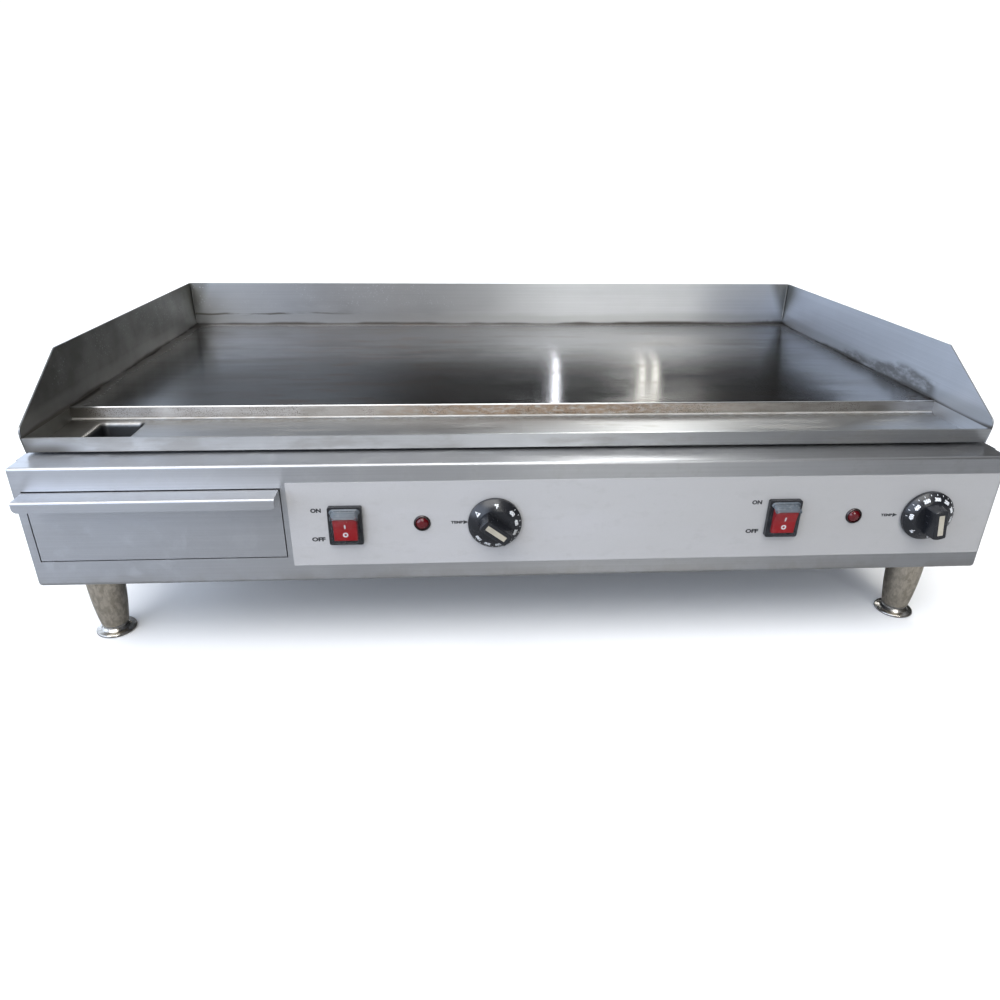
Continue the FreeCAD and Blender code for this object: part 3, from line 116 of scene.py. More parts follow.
# %% Node helpers
def add(tree, kind, inputs=None, **options):
    """One node in a tree, with its options set and its inputs filled or linked."""
    node = tree.nodes.new(kind)
    for option, value in options.items():
        setattr(node, option, value)
    for socket, value in (inputs or {}).items():
        if isinstance(value, bpy.types.NodeSocket):
            tree.links.new(value, node.inputs[socket])
        else:
            node.inputs[socket].default_value = value
    return node


def calculate(tree, operation, *values):
    """The result of a sum on numbers."""
    node = add(tree, "ShaderNodeMath", dict(enumerate(values)), operation=operation)
    return node.outputs[0]


def plus(tree, first, second):
    """first + second"""
    return calculate(tree, "ADD", first, second)


def minus(tree, first, second):
    """first - second"""
    return calculate(tree, "SUBTRACT", first, second)


def times(tree, first, second):
    """first * second"""
    return calculate(tree, "MULTIPLY", first, second)


def smooth_step(tree, value, start, end):
    """0 before start and 1 after end, with a soft change between them."""
    low, high, first, last = (start, end, 0.0, 1.0) if start < end else (end, start, 1.0, 0.0)
    node = add(tree, "ShaderNodeMapRange", {"Value": value, "From Min": low, "From Max": high,
                                            "To Min": first, "To Max": last},
               interpolation_type="SMOOTHSTEP")
    return node.outputs["Result"]


# %% [markdown]
# ## A finish, built in layers
# A real metal sheet isn't one colour. It has the grain of its brushing, cloudy patches where it was wiped,
# and stains where grease was burnt on. `Finish` collects such layers: `noise` gives a pattern with a grain of
# a stated size in millimetres, long one way for brushed lines; `ramp` finds a region from a place on the
# object; `tint`, `dull` and `relief` lay a pattern on the colour, the roughness or the surface, and `lay`
# does the first two at once. Everything reads Object coordinates, and as all the pieces share one origin, a
# stain can run from sheet to sheet.

# %% Finish
class Finish:
    """A material in the making: its colour, roughness and relief, layer by layer."""

    def __init__(self, name, colour, roughness, **shader_values):
        self.material = bpy.data.materials.new(name)
        self.material.use_nodes = True
        self.tree = self.material.node_tree
        self.shader = self.tree.nodes["Principled BSDF"]
        for socket, value in shader_values.items():
            self.shader.inputs[socket.replace("_", " ")].default_value = value
        place = add(self.tree, "ShaderNodeTexCoord").outputs["Object"]
        self.place = add(self.tree, "ShaderNodeVectorMath", {0: place, "Scale": 1 / MM},
                         operation="SCALE").outputs[0]
        parts = add(self.tree, "ShaderNodeSeparateXYZ", {0: self.place})
        self.x, self.y, self.z = parts.outputs
        self.colour = add(self.tree, "ShaderNodeRGB").outputs[0]
        self.colour.default_value = (*colour, 1.0)
        self.roughness = add(self.tree, "ShaderNodeValue").outputs[0]
        self.roughness.default_value = roughness
        self.normal = None

    def noise(self, size, detail=3.0, at=0.0, low=0.35, high=0.65):
        """A cloudy pattern from 0 to 1. size is its grain in mm, one number or one for each axis."""
        sizes = size if isinstance(size, tuple) else (size,) * 3
        where = add(self.tree, "ShaderNodeMapping", {"Vector": self.place, "Location": (at, at, at),
                                                     "Scale": [1 / each for each in sizes]})
        pattern = add(self.tree, "ShaderNodeTexNoise", {"Vector": where.outputs[0], "Scale": 1.0,
                                                        "Detail": detail, "Roughness": 0.6})
        return smooth_step(self.tree, pattern.outputs["Fac"], low, high)

    def cells(self, size, low=0.0, high=0.5):
        """Small round spots, 1 at each middle and 0 between."""
        where = add(self.tree, "ShaderNodeMapping", {"Vector": self.place, "Scale": (1 / size,) * 3})
        pattern = add(self.tree, "ShaderNodeTexVoronoi", {"Vector": where.outputs[0], "Scale": 1.0})
        return smooth_step(self.tree, pattern.outputs["Distance"], high, low)

    def ramp(self, value, start, end):
        """0 before start and 1 after end, in mm along a coordinate."""
        return smooth_step(self.tree, value, start, end)

    def all_of(self, *masks):
        """The masks multiplied together."""
        result = masks[0]
        for mask in masks[1:]:
            result = times(self.tree, result, mask)
        return result

    def away(self, value):
        """How far a coordinate is from 0, on either side."""
        return calculate(self.tree, "ABSOLUTE", value)

    def tint(self, mask, colour, amount=1.0):
        """Lay a colour over what is there."""
        share = times(self.tree, mask, amount)
        mixed = add(self.tree, "ShaderNodeMix", {0: share, 6: self.colour, 7: (*colour, 1.0)},
                    data_type="RGBA")
        self.colour = mixed.outputs[2]
        return self

    def dull(self, mask, roughness, amount=1.0):
        """Bring the roughness towards a value."""
        share = times(self.tree, mask, amount)
        mixed = add(self.tree, "ShaderNodeMix", {0: share, 2: self.roughness, 3: roughness},
                    data_type="FLOAT")
        self.roughness = mixed.outputs[0]
        return self

    def lay(self, mask, colour, amount, roughness, share):
        """Lay a colour, and bring the roughness with it by a share of its own."""
        return self.tint(mask, colour, amount).dull(mask, roughness, share)

    def relief(self, pattern, depth, strength=1.0):
        """Raise the surface where the pattern is high, by a depth in mm."""
        inputs = {"Height": pattern, "Distance": depth * MM, "Strength": strength}
        if self.normal is not None:
            inputs["Normal"] = self.normal
        self.normal = add(self.tree, "ShaderNodeBump", inputs).outputs[0]
        return self

    def done(self):
        """Link the layers to the shader."""
        self.tree.links.new(self.colour, self.shader.inputs["Base Color"])
        self.tree.links.new(self.roughness, self.shader.inputs["Roughness"])
        if self.normal is not None:
            self.tree.links.new(self.normal, self.shader.inputs["Normal"])
        return self.material


# %% [markdown]
# ## Brushed stainless sheet
# Sheet steel comes with a satin face: fine scratches that all run one way. They do two things. Close up,
# lines show. From a distance, a lamp's reflection is drawn out across the scratches, so a bright window
# turns into a tall streak. The lines are a noise stretched along the grain. The streak is the shader's
# anisotropy, whose direction is the grain itself, turned a quarter. The case's front, rear, drawer, trough
# and back guard are brushed from side to side, and the sides and side guards from front to back.

# %% Brushed sheet
ALONG_X = (1.0, 0.0, 0.0)
ALONG_Y = (0.0, 1.0, 0.0)


def brushed(name, colour, roughness, grain, length=160.0, streak=0.85, depth=0.012):
    """A satin steel sheet with its scratches along one axis."""
    finish = Finish(name, colour, roughness, Metallic=1.0, Anisotropic=streak, Anisotropic_Rotation=0.25)
    direction = add(finish.tree, "ShaderNodeCombineXYZ", dict(enumerate(grain))).outputs[0]
    finish.tree.links.new(direction, finish.shader.inputs["Tangent"])
    fine = tuple(length if share else 0.45 for share in grain)
    coarse = tuple(length * 2.2 if share else 2.6 for share in grain)
    lines = finish.noise(fine, 2.0, low=0.3, high=0.7)
    bands = finish.noise(coarse, 3.0, at=7.0, low=0.3, high=0.7)
    wiped = finish.noise(70.0, 3.0, at=3.0)
    darker = tuple(value * 0.80 for value in colour)
    finish.tint(lines, darker, 0.45).tint(bands, darker, 0.35).tint(wiped, darker, 0.25)
    finish.dull(bands, roughness + 0.06, 0.6).dull(wiped, roughness + 0.08, 0.5)
    finish.relief(lines, depth, 0.2)
    return finish


steel_colour = (0.49, 0.50, 0.52)
case_steel = brushed("brushed_case_steel", steel_colour, 0.30, ALONG_X)
fingers = case_steel.noise(14.0, 4.0, at=20.0, low=0.52, high=0.7)
case_steel.lay(fingers, (0.36, 0.36, 0.36), 0.22, 0.5, 0.4)
# The front grows darker, in clouds, over its lowest 17 mm.
case_foot = front_low.z / MM
darker_at_foot = case_steel.all_of(case_steel.ramp(case_steel.z, case_foot + 17.0, case_foot + 1.0),
                               case_steel.noise(26.0, 4.0, at=5.0))
case_steel.tint(darker_at_foot, (0.30, 0.28, 0.25), 0.35)
case_front = case_steel.done()

side_steel = brushed("brushed_side_steel", steel_colour, 0.32, ALONG_Y)
side_wear = side_steel.noise((30.0, 60.0, 9.0), 4.0, at=11.0, low=0.5, high=0.7)
side_steel.lay(side_wear, (0.33, 0.33, 0.33), 0.25, 0.48, 0.5)
case_side = side_steel.done()
print("brushed sheet:", case_front.name, case_side.name)


# %% [markdown]
# ## The cooking plate
# The plate is thick carbon steel, ground from side to side and then cooked on for years. Its middle is
# polished dark, with brown patches of seasoning that are longer than they are deep. Scraper strokes cross
# it from front to back. Near the guards, where no scraper reaches, a dark burnt rim stays. A thin bright
# line along its top front corner is a painted highlight, and the low front face below it is speckled with
# rust-brown residue.

# %% Plate finish
plate_low, plate_high = (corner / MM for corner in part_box("griddle_plate"))
plate = brushed("cooked_plate_steel", (0.275, 0.275, 0.28), 0.10, ALONG_X, length=240.0, streak=0.95,
                depth=0.010)
seasoning = plate.noise((150.0, 26.0, 60.0), 3.0, at=2.0, low=0.45, high=0.7)
plate.lay(seasoning, (0.150, 0.130, 0.115), 0.5, 0.17, 0.5)
haze = plate.noise((170.0, 34.0, 45.0), 4.0, at=31.0, low=0.5, high=0.75)
plate.tint(haze, (0.29, 0.30, 0.32), 0.3)
rusty = plate.all_of(plate.ramp(plate.x, -330.0, -220.0), plate.ramp(plate.x, 0.0, -90.0),
                     plate.noise((60.0, 14.0, 40.0), 4.0, at=27.0, low=0.5, high=0.66))
plate.tint(rusty, (0.24, 0.165, 0.13), 0.6)
strokes = plate.noise((0.8, 150.0, 40.0), 2.0, at=9.0, low=0.55, high=0.75)
plate.lay(strokes, (0.31, 0.31, 0.31), 0.14, 0.2, 0.2)
waver = times(plate.tree, plate.noise(60.0, 3.0, at=14.0), 6.0)
from_side = plus(plate.tree, plate.away(plate.x), waver)
from_back = plus(plate.tree, plate.y, waver)
for edge, corner in ((from_side, plate_high.x), (from_back, plate_high.y)):
    soot = plate.ramp(edge, corner - 34.0, corner + 6.0)
    plate.lay(soot, (0.13, 0.12, 0.11), 0.6, 0.42, 0.7)
    burnt_edge = plate.ramp(edge, corner - 1.0, corner + 3.0)
    plate.lay(burnt_edge, (0.05, 0.045, 0.04), 0.75, 0.6, 0.8)
corner_dirt = plate.all_of(plate.ramp(plate.x, 395.0, 440.0), plate.ramp(plate.y, -112.0, -138.0),
                           plate.noise(12.0, 5.0, at=23.0, low=0.4, high=0.6))
plate.lay(corner_dirt, (0.07, 0.055, 0.045), 0.8, 0.65, 0.9)
front_face = plate.ramp(plate.y, plate_low.y + 0.7, plate_low.y + 0.2)
on_front = plate.all_of(front_face, plate.ramp(plate.z, plate_high.z - 0.9, plate_high.z - 1.2))
plate.tint(on_front, (0.44, 0.42, 0.40), 0.9).dull(on_front, 0.42)
clouds = plate.all_of(on_front, plate.noise((26.0, 26.0, 7.0), 5.0, at=51.0, low=0.4, high=0.65))
plate.tint(clouds, (0.27, 0.25, 0.22), 0.5)
middle = plate.all_of(plate.ramp(plate.x, -190.0, -20.0), plate.ramp(plate.x, 290.0, 60.0))
rust = plate.all_of(on_front, middle, plate.noise((9.0, 9.0, 3.0), 5.0, at=17.0, low=0.3, high=0.6))
plate.lay(rust, (0.35, 0.235, 0.15), 0.7, 0.7, 0.9)
specks = plate.all_of(on_front, plate.noise(0.8, 3.0, at=41.0, low=0.54, high=0.62),
                      plate.noise(34.0, 2.0, at=43.0, low=0.35, high=0.6))
plate.tint(specks, (0.07, 0.055, 0.045), 0.8)
# Painted highlight: a thin bright line along the plate's top front corner.
painted_edge_highlight = plate.all_of(plate.ramp(plate.y, plate_low.y + 1.1, plate_low.y + 0.8),
                           plate.ramp(plate.z, plate_high.z - 0.7, plate_high.z - 0.4))
plate.lay(painted_edge_highlight, (0.66, 0.66, 0.65), 0.9, 0.4, 0.9)
plate.relief(specks, 0.05, 0.5)
plate_steel = plate.done()
print("plate from", [round(v, 1) for v in plate_low], "to", [round(v, 1) for v in plate_high], "mm")


# %% [markdown]
# ## Splash guards, heat-tinted at the foot
# The guards are the same satin sheet, but heat and grease have darkened them along the plate: a soft
# grey-brown band about 12 mm high. Dark triangles in the two back corners are painted shade. The left guard's
# inner face is darker all over, in clouds, and the right one has a cloudy stain that grows towards the front.
# The band reads the height above the plate, broken up by a noise, so it follows all three guards, and both
# brushing directions share one recipe.

# %% Guard finish
LEFT_GUARD_FACE = -446.0


def guard_finish(name, grain):
    """Satin sheet with a burnt band at its foot."""
    guard = brushed(name, (0.52, 0.535, 0.56), 0.30, grain)
    # The left guard's inner face is made darker all over, with darker clouds.
    left_face_darker = guard.ramp(guard.x, LEFT_GUARD_FACE, LEFT_GUARD_FACE - 0.6)
    guard.tint(left_face_darker, (0.17, 0.17, 0.155), 0.75)
    guard.tint(guard.all_of(left_face_darker, guard.noise(45.0, 4.0, at=37.0)), (0.10, 0.10, 0.09), 0.5)
    wave = times(guard.tree, guard.noise((110.0, 110.0, 60.0), 2.0, at=6.0), 3.0)
    height = minus(guard.tree, guard.z, plate_high.z)
    edge = minus(guard.tree, height, wave)
    above_floor = guard.ramp(guard.z, plate_high.z - 1.5, plate_high.z - 0.5)
    band = guard.all_of(guard.ramp(edge, 17.0, 9.0), above_floor)
    guard.lay(band, (0.33, 0.335, 0.34), 0.5, 0.38, 0.8)
    burnt = guard.all_of(guard.ramp(edge, 2.4, -1.6), above_floor)
    guard.lay(burnt, (0.07, 0.06, 0.05), 0.85, 0.6, 0.8)
    scorch = guard.all_of(guard.ramp(guard.away(minus(guard.tree, edge, 14.0)), 2.2, 0.6),
                          guard.ramp(guard.x, -150.0, -330.0),
                          guard.ramp(guard.x, LEFT_GUARD_FACE, LEFT_GUARD_FACE + 1.0),
                          guard.noise((50.0, 50.0, 4.0), 4.0, at=16.0, low=0.4, high=0.55))
    guard.tint(scorch, (0.11, 0.10, 0.08), 0.75)
    # Painted shade: dark triangles in the two back corners, widening upwards.
    from_corner = minus(guard.tree, plate_high.x, guard.away(guard.x))
    behind = minus(guard.tree, plate_high.y, guard.y)
    slope = plus(guard.tree, plus(guard.tree, from_corner, behind), times(guard.tree, height, -0.45))
    corner = guard.all_of(guard.ramp(slope, 6.0, -10.0), above_floor)
    guard.lay(corner, (0.14, 0.14, 0.12), 0.65, 0.45, 0.8)
    forwards = times(guard.tree, guard.ramp(guard.y, 120.0, -110.0), 18.0)
    stain_edge = minus(guard.tree, minus(guard.tree, height, forwards), times(guard.tree, wave, 2.0))
    stain = guard.all_of(guard.ramp(stain_edge, 3.0, -5.0), guard.ramp(guard.x, 300.0, 430.0),
                         guard.ramp(guard.y, -146.0, -130.0), above_floor,
                         guard.noise((12.0, 26.0, 10.0), 5.0, at=13.0, low=0.3, high=0.62))
    guard.lay(stain, (0.12, 0.115, 0.11), 0.75, 0.5, 0.7)
    drops = guard.all_of(guard.cells(3.4, 0.1, 0.32), guard.ramp(guard.x, -20.0, -90.0),
                         guard.ramp(height, 22.0, 30.0), guard.noise(40.0, 3.0, at=19.0, low=0.45, high=0.6))
    guard.lay(drops, (0.74, 0.77, 0.82), 0.5, 0.55, 0.5)
    return guard.done()


back_guard_steel = guard_finish("tinted_guard_steel_x", ALONG_X)
side_guard_steel = guard_finish("tinted_guard_steel_y", ALONG_Y)
print("guards:", back_guard_steel.name, side_guard_steel.name)


# %% [markdown]
# ## The trough and the ground seam
# The trough is wiped clean, but a brown film of grease stays in clouds, with splashes near the plate. Its
# left end is darker towards the floor. The throat of the drain is painted dark: painted shade inside the
# hole. The seam along the plate's foot was ground across, so its scratches are short.

# %% Trough and seam finish
trough = brushed("wiped_trough_steel", (0.47, 0.48, 0.49), 0.30, ALONG_X, streak=0.55)
grease_film = trough.noise((60.0, 14.0, 20.0), 5.0, at=8.0, low=0.48, high=0.66)
trough.lay(grease_film, (0.27, 0.25, 0.22), 0.35, 0.5, 0.6)
splashes = trough.all_of(trough.ramp(trough.y, -160.0, -146.0), trough.noise(9.0, 5.0, at=4.0))
trough.lay(splashes, (0.20, 0.16, 0.12), 0.5, 0.55, 0.6)
# The left end grows darker towards the floor.
left_end = trough.all_of(trough.ramp(trough.x, -385.0, -425.0), trough.ramp(trough.z, plate_low.z + 14.0,
                                                                            plate_low.z + 1.0))
trough.lay(left_end, (0.09, 0.08, 0.065), 0.8, 0.42, 0.5)
# Painted shade: the drain's throat, below the trough floor, is made dark and bluish.
painted_drain_shade = trough.ramp(trough.z, plate_low.z - 0.9, plate_low.z - 3.5)
trough.lay(painted_drain_shade, (0.10, 0.11, 0.12), 0.85, 0.45, 0.6)
trough_steel = trough.done()
seam_metal = brushed("ground_seam_steel", (0.40, 0.395, 0.385), 0.46, ALONG_Y, length=3.0, streak=0.3)
seam_metal.tint(seam_metal.noise((14.0, 5.0, 5.0), 4.0, at=29.0), (0.26, 0.24, 0.21), 0.6)
seam_steel = seam_metal.done()
print("trough and seam:", trough_steel.name, seam_steel.name)


# %% [markdown]
# ## Other metals
# Behind the show faces the case is galvanised sheet, with the dull patchwork of zinc crystals. Screws,
# clamps and nuts are zinc plated. The legs are die castings in a warm brushed nickel that has gone brown
# in streaks, and their screw feet are polished chrome with small pits. The heater tubes are dark oxidised
# sheath with rings of colour from heat. The capillaries are drawn copper.

# %% Other metals
galvanised = Finish("galvanised_sheet", (0.50, 0.51, 0.53), 0.42, Metallic=1.0)
crystals = galvanised.cells(9.0, 0.1, 0.75)
galvanised.lay(crystals, (0.38, 0.39, 0.41), 0.6, 0.55, 0.7)
galvanised.tint(galvanised.noise(60.0, 4.0), (0.36, 0.36, 0.36), 0.35).relief(crystals, 0.02, 0.3)
galvanised_sheet = galvanised.done()

zinc = Finish("zinc_plate", (0.56, 0.56, 0.53), 0.32, Metallic=1.0)
zinc.tint(zinc.noise(3.0, 4.0), (0.36, 0.35, 0.31), 0.5).dull(zinc.noise(6.0, 3.0, at=5.0), 0.5)
zinc.relief(zinc.noise(0.5, 3.0, at=9.0), 0.02, 0.4)
zinc_plate = zinc.done()

nickel = Finish("brushed_nickel", (0.66, 0.60, 0.51), 0.32, Metallic=1.0)
drawn = nickel.noise((0.9, 0.9, 60.0), 3.0, low=0.3, high=0.7)
tarnish = nickel.noise((5.0, 5.0, 9.0), 5.0, at=4.0, low=0.38, high=0.62)
nickel.tint(drawn, (0.42, 0.37, 0.30), 0.35).tint(tarnish, (0.30, 0.26, 0.20), 0.6)
nickel.dull(tarnish, 0.5, 0.7).relief(drawn, 0.02, 0.3).relief(tarnish, 0.05, 0.4)
pits = nickel.all_of(nickel.cells(1.5, 0.05, 0.28), nickel.noise(8.0, 2.0, at=14.0, low=0.45, high=0.6))
nickel.tint(pits, (0.06, 0.05, 0.04), 0.7).relief(pits, -0.05, 0.5)
leg_nickel = nickel.done()

chrome = Finish("polished_chrome", (0.56, 0.545, 0.52), 0.12, Metallic=1.0)
chrome_pits = chrome.noise(1.4, 4.0, low=0.60, high=0.72)
chrome.tint(chrome_pits, (0.12, 0.10, 0.08), 0.8).dull(chrome_pits, 0.5)
chrome.tint(chrome.noise(7.0, 3.0, at=3.0), (0.22, 0.20, 0.17), 0.7)
chrome.dull(chrome.noise(9.0, 4.0, at=7.0), 0.25)
chrome_plate = chrome.done()

# The lamp rings are chrome; this dark metal colour stands for the dark surroundings they reflect, a painted
# reflection.
dark = Finish("lamp_ring_painted_reflection", (0.09, 0.075, 0.075), 0.14, Metallic=1.0)
dark.tint(dark.noise(2.0, 4.0), (0.04, 0.035, 0.035), 0.7).dull(dark.noise(1.0, 3.0, at=4.0), 0.34)
dark.relief(dark.noise(0.7, 3.0, at=8.0), 0.03, 0.4)
lamp_ring = dark.done()

sheath = Finish("heater_sheath", (0.17, 0.18, 0.17), 0.45, Metallic=0.9)
heat_marks = sheath.noise((8.0, 8.0, 8.0), 3.0)
sheath.tint(heat_marks, (0.20, 0.14, 0.09), 0.6).dull(sheath.noise(2.0, 4.0, at=3.0), 0.62)
sheath.relief(sheath.noise(0.8, 3.0, at=6.0), 0.03, 0.4)
heater_sheath = sheath.done()

copper = Finish("drawn_copper", (0.66, 0.36, 0.22), 0.30, Metallic=1.0)
copper.tint(copper.noise(7.0, 4.0), (0.34, 0.19, 0.12), 0.55).dull(copper.noise(3.0, 3.0, at=3.0), 0.5)
copper.relief(copper.noise((30.0, 0.6, 0.6), 2.0, at=5.0), 0.01, 0.3)
drawn_copper = copper.done()
print("metals:", galvanised_sheet.name, zinc_plate.name, leg_nickel.name, chrome_plate.name)


# %% [markdown]
# ## Plastics, film, wool and rubber
# The control label is a light grey film with a fine tooth; its right part is painted darker, which is painted
# shade. Knobs and switch frames are black moulded plastic, a little dusty. The rocker is a glossy red that
# glows faintly, as it has a small lamp inside. The boot over it is soft clear plastic. Its upper folds, which
# are seen edge on, get a dark grey, nearly opaque copy of that plastic, which is painted shade. Behind, the
# insulation is felted mineral wool, and the leads are silicone rubber. Each has its own grain, and none is
# one even colour.

# %% Plastics and soft materials
film = Finish("label_film", (0.545, 0.54, 0.55), 0.40, Metallic=0.25)
tooth = film.noise(0.55, 3.0)
film.tint(tooth, (0.47, 0.465, 0.47), 0.5).relief(tooth, 0.015, 0.5)
film.tint(film.noise((160.0, 160.0, 50.0), 3.0, at=4.0), (0.48, 0.475, 0.47), 0.5)
# Painted shade: the label grows darker towards its right end.
film.tint(film.ramp(film.x, 20.0, 330.0), (0.395, 0.385, 0.37), 0.55)
smears = film.noise((18.0, 18.0, 9.0), 5.0, at=12.0, low=0.52, high=0.72)
film.lay(smears, (0.40, 0.395, 0.385), 0.22, 0.55, 0.6)
label_film = film.done()


def moulded(name, colour, dust, roughness=0.36, grain=0.5, dusty=0.3, **shader_values):
    """A moulded plastic: a fine grain, a slight flow pattern and a little dust."""
    plastic = Finish(name, colour, roughness, **shader_values)
    powder = plastic.noise(5.0, 5.0, at=6.0, low=0.5, high=0.75)
    plastic.tint(plastic.noise(18.0, 2.0), tuple(value * 0.7 for value in colour), 0.6)
    plastic.tint(powder, dust, dusty).dull(powder, roughness + 0.25, 2.0 * dusty)
    plastic.relief(plastic.noise(grain, 3.0, at=2.0), 0.02, 0.5)
    return plastic


black_plastic = moulded("black_moulding", (0.011, 0.012, 0.015), (0.10, 0.10, 0.11), 0.24, dusty=0.12).done()
gland_plastic = moulded("gland_moulding", (0.028, 0.028, 0.028), (0.12, 0.12, 0.11), 0.5).done()
cream_strip = moulded("cream_strip", (0.46, 0.42, 0.34), (0.30, 0.26, 0.19), 0.42).done()
white_ink = moulded("white_ink", (0.80, 0.81, 0.82), (0.45, 0.45, 0.44), 0.5).done()
black_ink = moulded("black_ink", (0.022, 0.022, 0.025), (0.10, 0.10, 0.10), 0.5).done()
red_rocker = moulded("red_rocker", (0.22, 0.001, 0.003), (0.14, 0.01, 0.01), 0.2, dusty=0.1, Coat_Weight=0.2,
                     Specular_IOR_Level=0.3, Emission_Color=(1.0, 0.01, 0.02, 1.0),
                     Emission_Strength=0.10).done()
red_lens = moulded("red_lens", (0.07, 0.001, 0.004), (0.07, 0.01, 0.01), 0.12, 0.8, dusty=0.05,
                   Coat_Weight=0.3, Emission_Color=(1.0, 0.0, 0.02, 1.0), Emission_Strength=0.03).done()
clear_boot = moulded("clear_boot", (0.08, 0.09, 0.10), (0.2, 0.2, 0.2), 0.12, 0.9, dusty=0.05,
                     Alpha=0.07).done()
# The folds: a dark grey, nearly opaque copy of the clear boot plastic, which is painted shade.
boot_folds_painted_shade = moulded("boot_folds_painted_shade", (0.115, 0.135, 0.155), (0.3, 0.32, 0.34), 0.25, 0.9, dusty=0.15,
                     Alpha=0.85).done()
steatite = moulded("steatite", (0.62, 0.60, 0.54), (0.36, 0.33, 0.28), 0.55).done()
lead_rubber = moulded("lead_rubber", (0.42, 0.07, 0.05), (0.22, 0.12, 0.10), 0.55).done()

wool = Finish("mineral_wool", (0.52, 0.47, 0.33), 0.95)
fibres = wool.noise((12.0, 1.2, 3.0), 6.0, low=0.3, high=0.7)
wool.tint(fibres, (0.34, 0.30, 0.20), 0.7).tint(wool.noise(30.0, 3.0, at=8.0), (0.60, 0.56, 0.44), 0.5)
wool.relief(fibres, 0.8, 0.8)
mineral_wool = wool.done()
print("plastics and soft materials:", label_film.name, black_plastic.name, clear_boot.name, mineral_wool.name)


# %% [markdown]
# ## Every node gets its finish
# The record names a material slot for each node. Most nodes take the finish of their slot. A few differ by
# where they are: side sheets are brushed the other way, and the trough and the guards have their own wear.

# %% Assign finishes
slot_finish = {"brushed_stainless": case_front, "splash_stainless": back_guard_steel,
               "cooking_steel": plate_steel, "galvanised_steel": galvanised_sheet, "label_grey": label_film,
               "black_plastic": black_plastic, "cream_strip": cream_strip, "red_rocker": red_rocker,
               "clear_boot": clear_boot, "red_lens": red_lens, "bright_chrome": chrome_plate,
               "leg_nickel": leg_nickel, "heater_sheath": heater_sheath, "zinc_steel": zinc_plate,
               "mineral_wool": mineral_wool, "thermostat_case": steatite, "copper_tube": drawn_copper,
               "wire_silicone": lead_rubber, "gland_plastic": gland_plastic}
own_finish = {"left_side_panel": case_side, "right_side_panel": case_side,
              "left_splash_guard": side_guard_steel, "right_splash_guard": side_guard_steel,
              "grease_trough": trough_steel, "drain_chute": trough_steel,
              "left_lamp_body": lamp_ring, "right_lamp_body": lamp_ring}
node_slot = {part["node"]: part["material_slot"] for part in frame["record"]["subparts"]}
for node, piece in frame["nodes"].items():
    piece.data.materials.clear()
    piece.data.materials.append(own_finish.get(node, slot_finish[node_slot[node]]))
print("finishes on", len(frame["nodes"]), "nodes")


# %% [markdown]
# ## Growing pieces from a rule
# A Geometry Nodes tree is a recipe with named inputs. `recipe` starts one with its sizes as inputs, and
# `grow` runs it on an empty mesh and keeps the result as a plain mesh, so no modifier is left. `ride_on`
# then gives the piece its body and hides the frame nodes that it stands for.

# %% Geometry Nodes helpers
def recipe(name, sizes):
    """A tree with a named input for each size. Returns the tree and the sockets of its inputs."""
    tree = bpy.data.node_groups.new(name, "GeometryNodeTree")
    tree.interface.new_socket("Geometry", in_out="INPUT", socket_type="NodeSocketGeometry")
    tree.interface.new_socket("Geometry", in_out="OUTPUT", socket_type="NodeSocketGeometry")
    for label, value in sizes.items():
        kind = "Int" if isinstance(value, int) else "Float" if isinstance(value, float) else "Vector"
        socket = tree.interface.new_socket(label, in_out="INPUT", socket_type="NodeSocket" + kind)
        socket.default_value = value
    return tree, add(tree, "NodeGroupInput").outputs


def shape(tree, kind, inputs=None, **options):
    """The first output of a geometry node."""
    return add(tree, "GeometryNode" + kind, inputs, **options).outputs[0]


def along_z(tree, value):
    """A vector of this length along Z."""
    return add(tree, "ShaderNodeCombineXYZ", {2: value}).outputs[0]


def finish_recipe(tree, geometry, material):
    """End a tree: real geometry in place of instances, and its material."""
    solid = shape(tree, "RealizeInstances", {0: geometry})
    painted = shape(tree, "SetMaterial", {"Geometry": solid, "Material": material})
    add(tree, "NodeGroupOutput", {0: painted})


def grow(name, tree, **sizes):
    """Run a tree once, with these sizes, and keep what it makes as a plain mesh."""
    maker = bpy.data.objects.new(name, bpy.data.meshes.new(name))
    scene.collection.objects.link(maker)
    build = maker.modifiers.new("build", "NODES")
    build.node_group = tree
    for socket in tree.interface.items_tree:
        if socket.in_out == "INPUT" and socket.name in sizes:
            build[socket.identifier] = sizes[socket.name]
    made = bpy.data.meshes.new_from_object(maker.evaluated_get(bpy.context.evaluated_depsgraph_get()))
    maker.modifiers.remove(build)
    maker.data = made
    return maker


def joined(name, pieces):
    """Several objects as one, with their places kept in the mesh."""
    together = bmesh.new()
    for piece in pieces:
        together.from_mesh(piece.data)
    mesh = bpy.data.meshes.new(name)
    together.to_mesh(mesh)
    together.free()
    for material in pieces[0].data.materials:
        mesh.materials.append(material)
    for piece in pieces:
        bpy.data.objects.remove(piece)
    result = bpy.data.objects.new(name, mesh)
    scene.collection.objects.link(result)
    return result


def moved(piece, matrix):
    """Apply a place to a piece's mesh."""
    piece.data.transform(matrix)
    return piece


def ride_on(piece, body, slot, *nodes):
    """Give a piece the body that it moves with, and hide the frame nodes that it stands for. The slot is not
    used.
    """
    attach(piece, body)
    if nodes:
        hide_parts(*nodes)
    print(piece.name, "on", body, "with", len(piece.data.polygons), "faces")


# %% [markdown]
# ## Case screws
# The case is held by pan-head screws with a cross recess. The frame has each screw as a plain dome, which is
# all that a collision needs. Here a recipe makes one true head: a dome, cut from a large ball by a round
# bar, with two crossed slots taken out, on its shank. The places are read from the frame: every loose shell
# in the node is one screw, and its head points away from the object's middle.

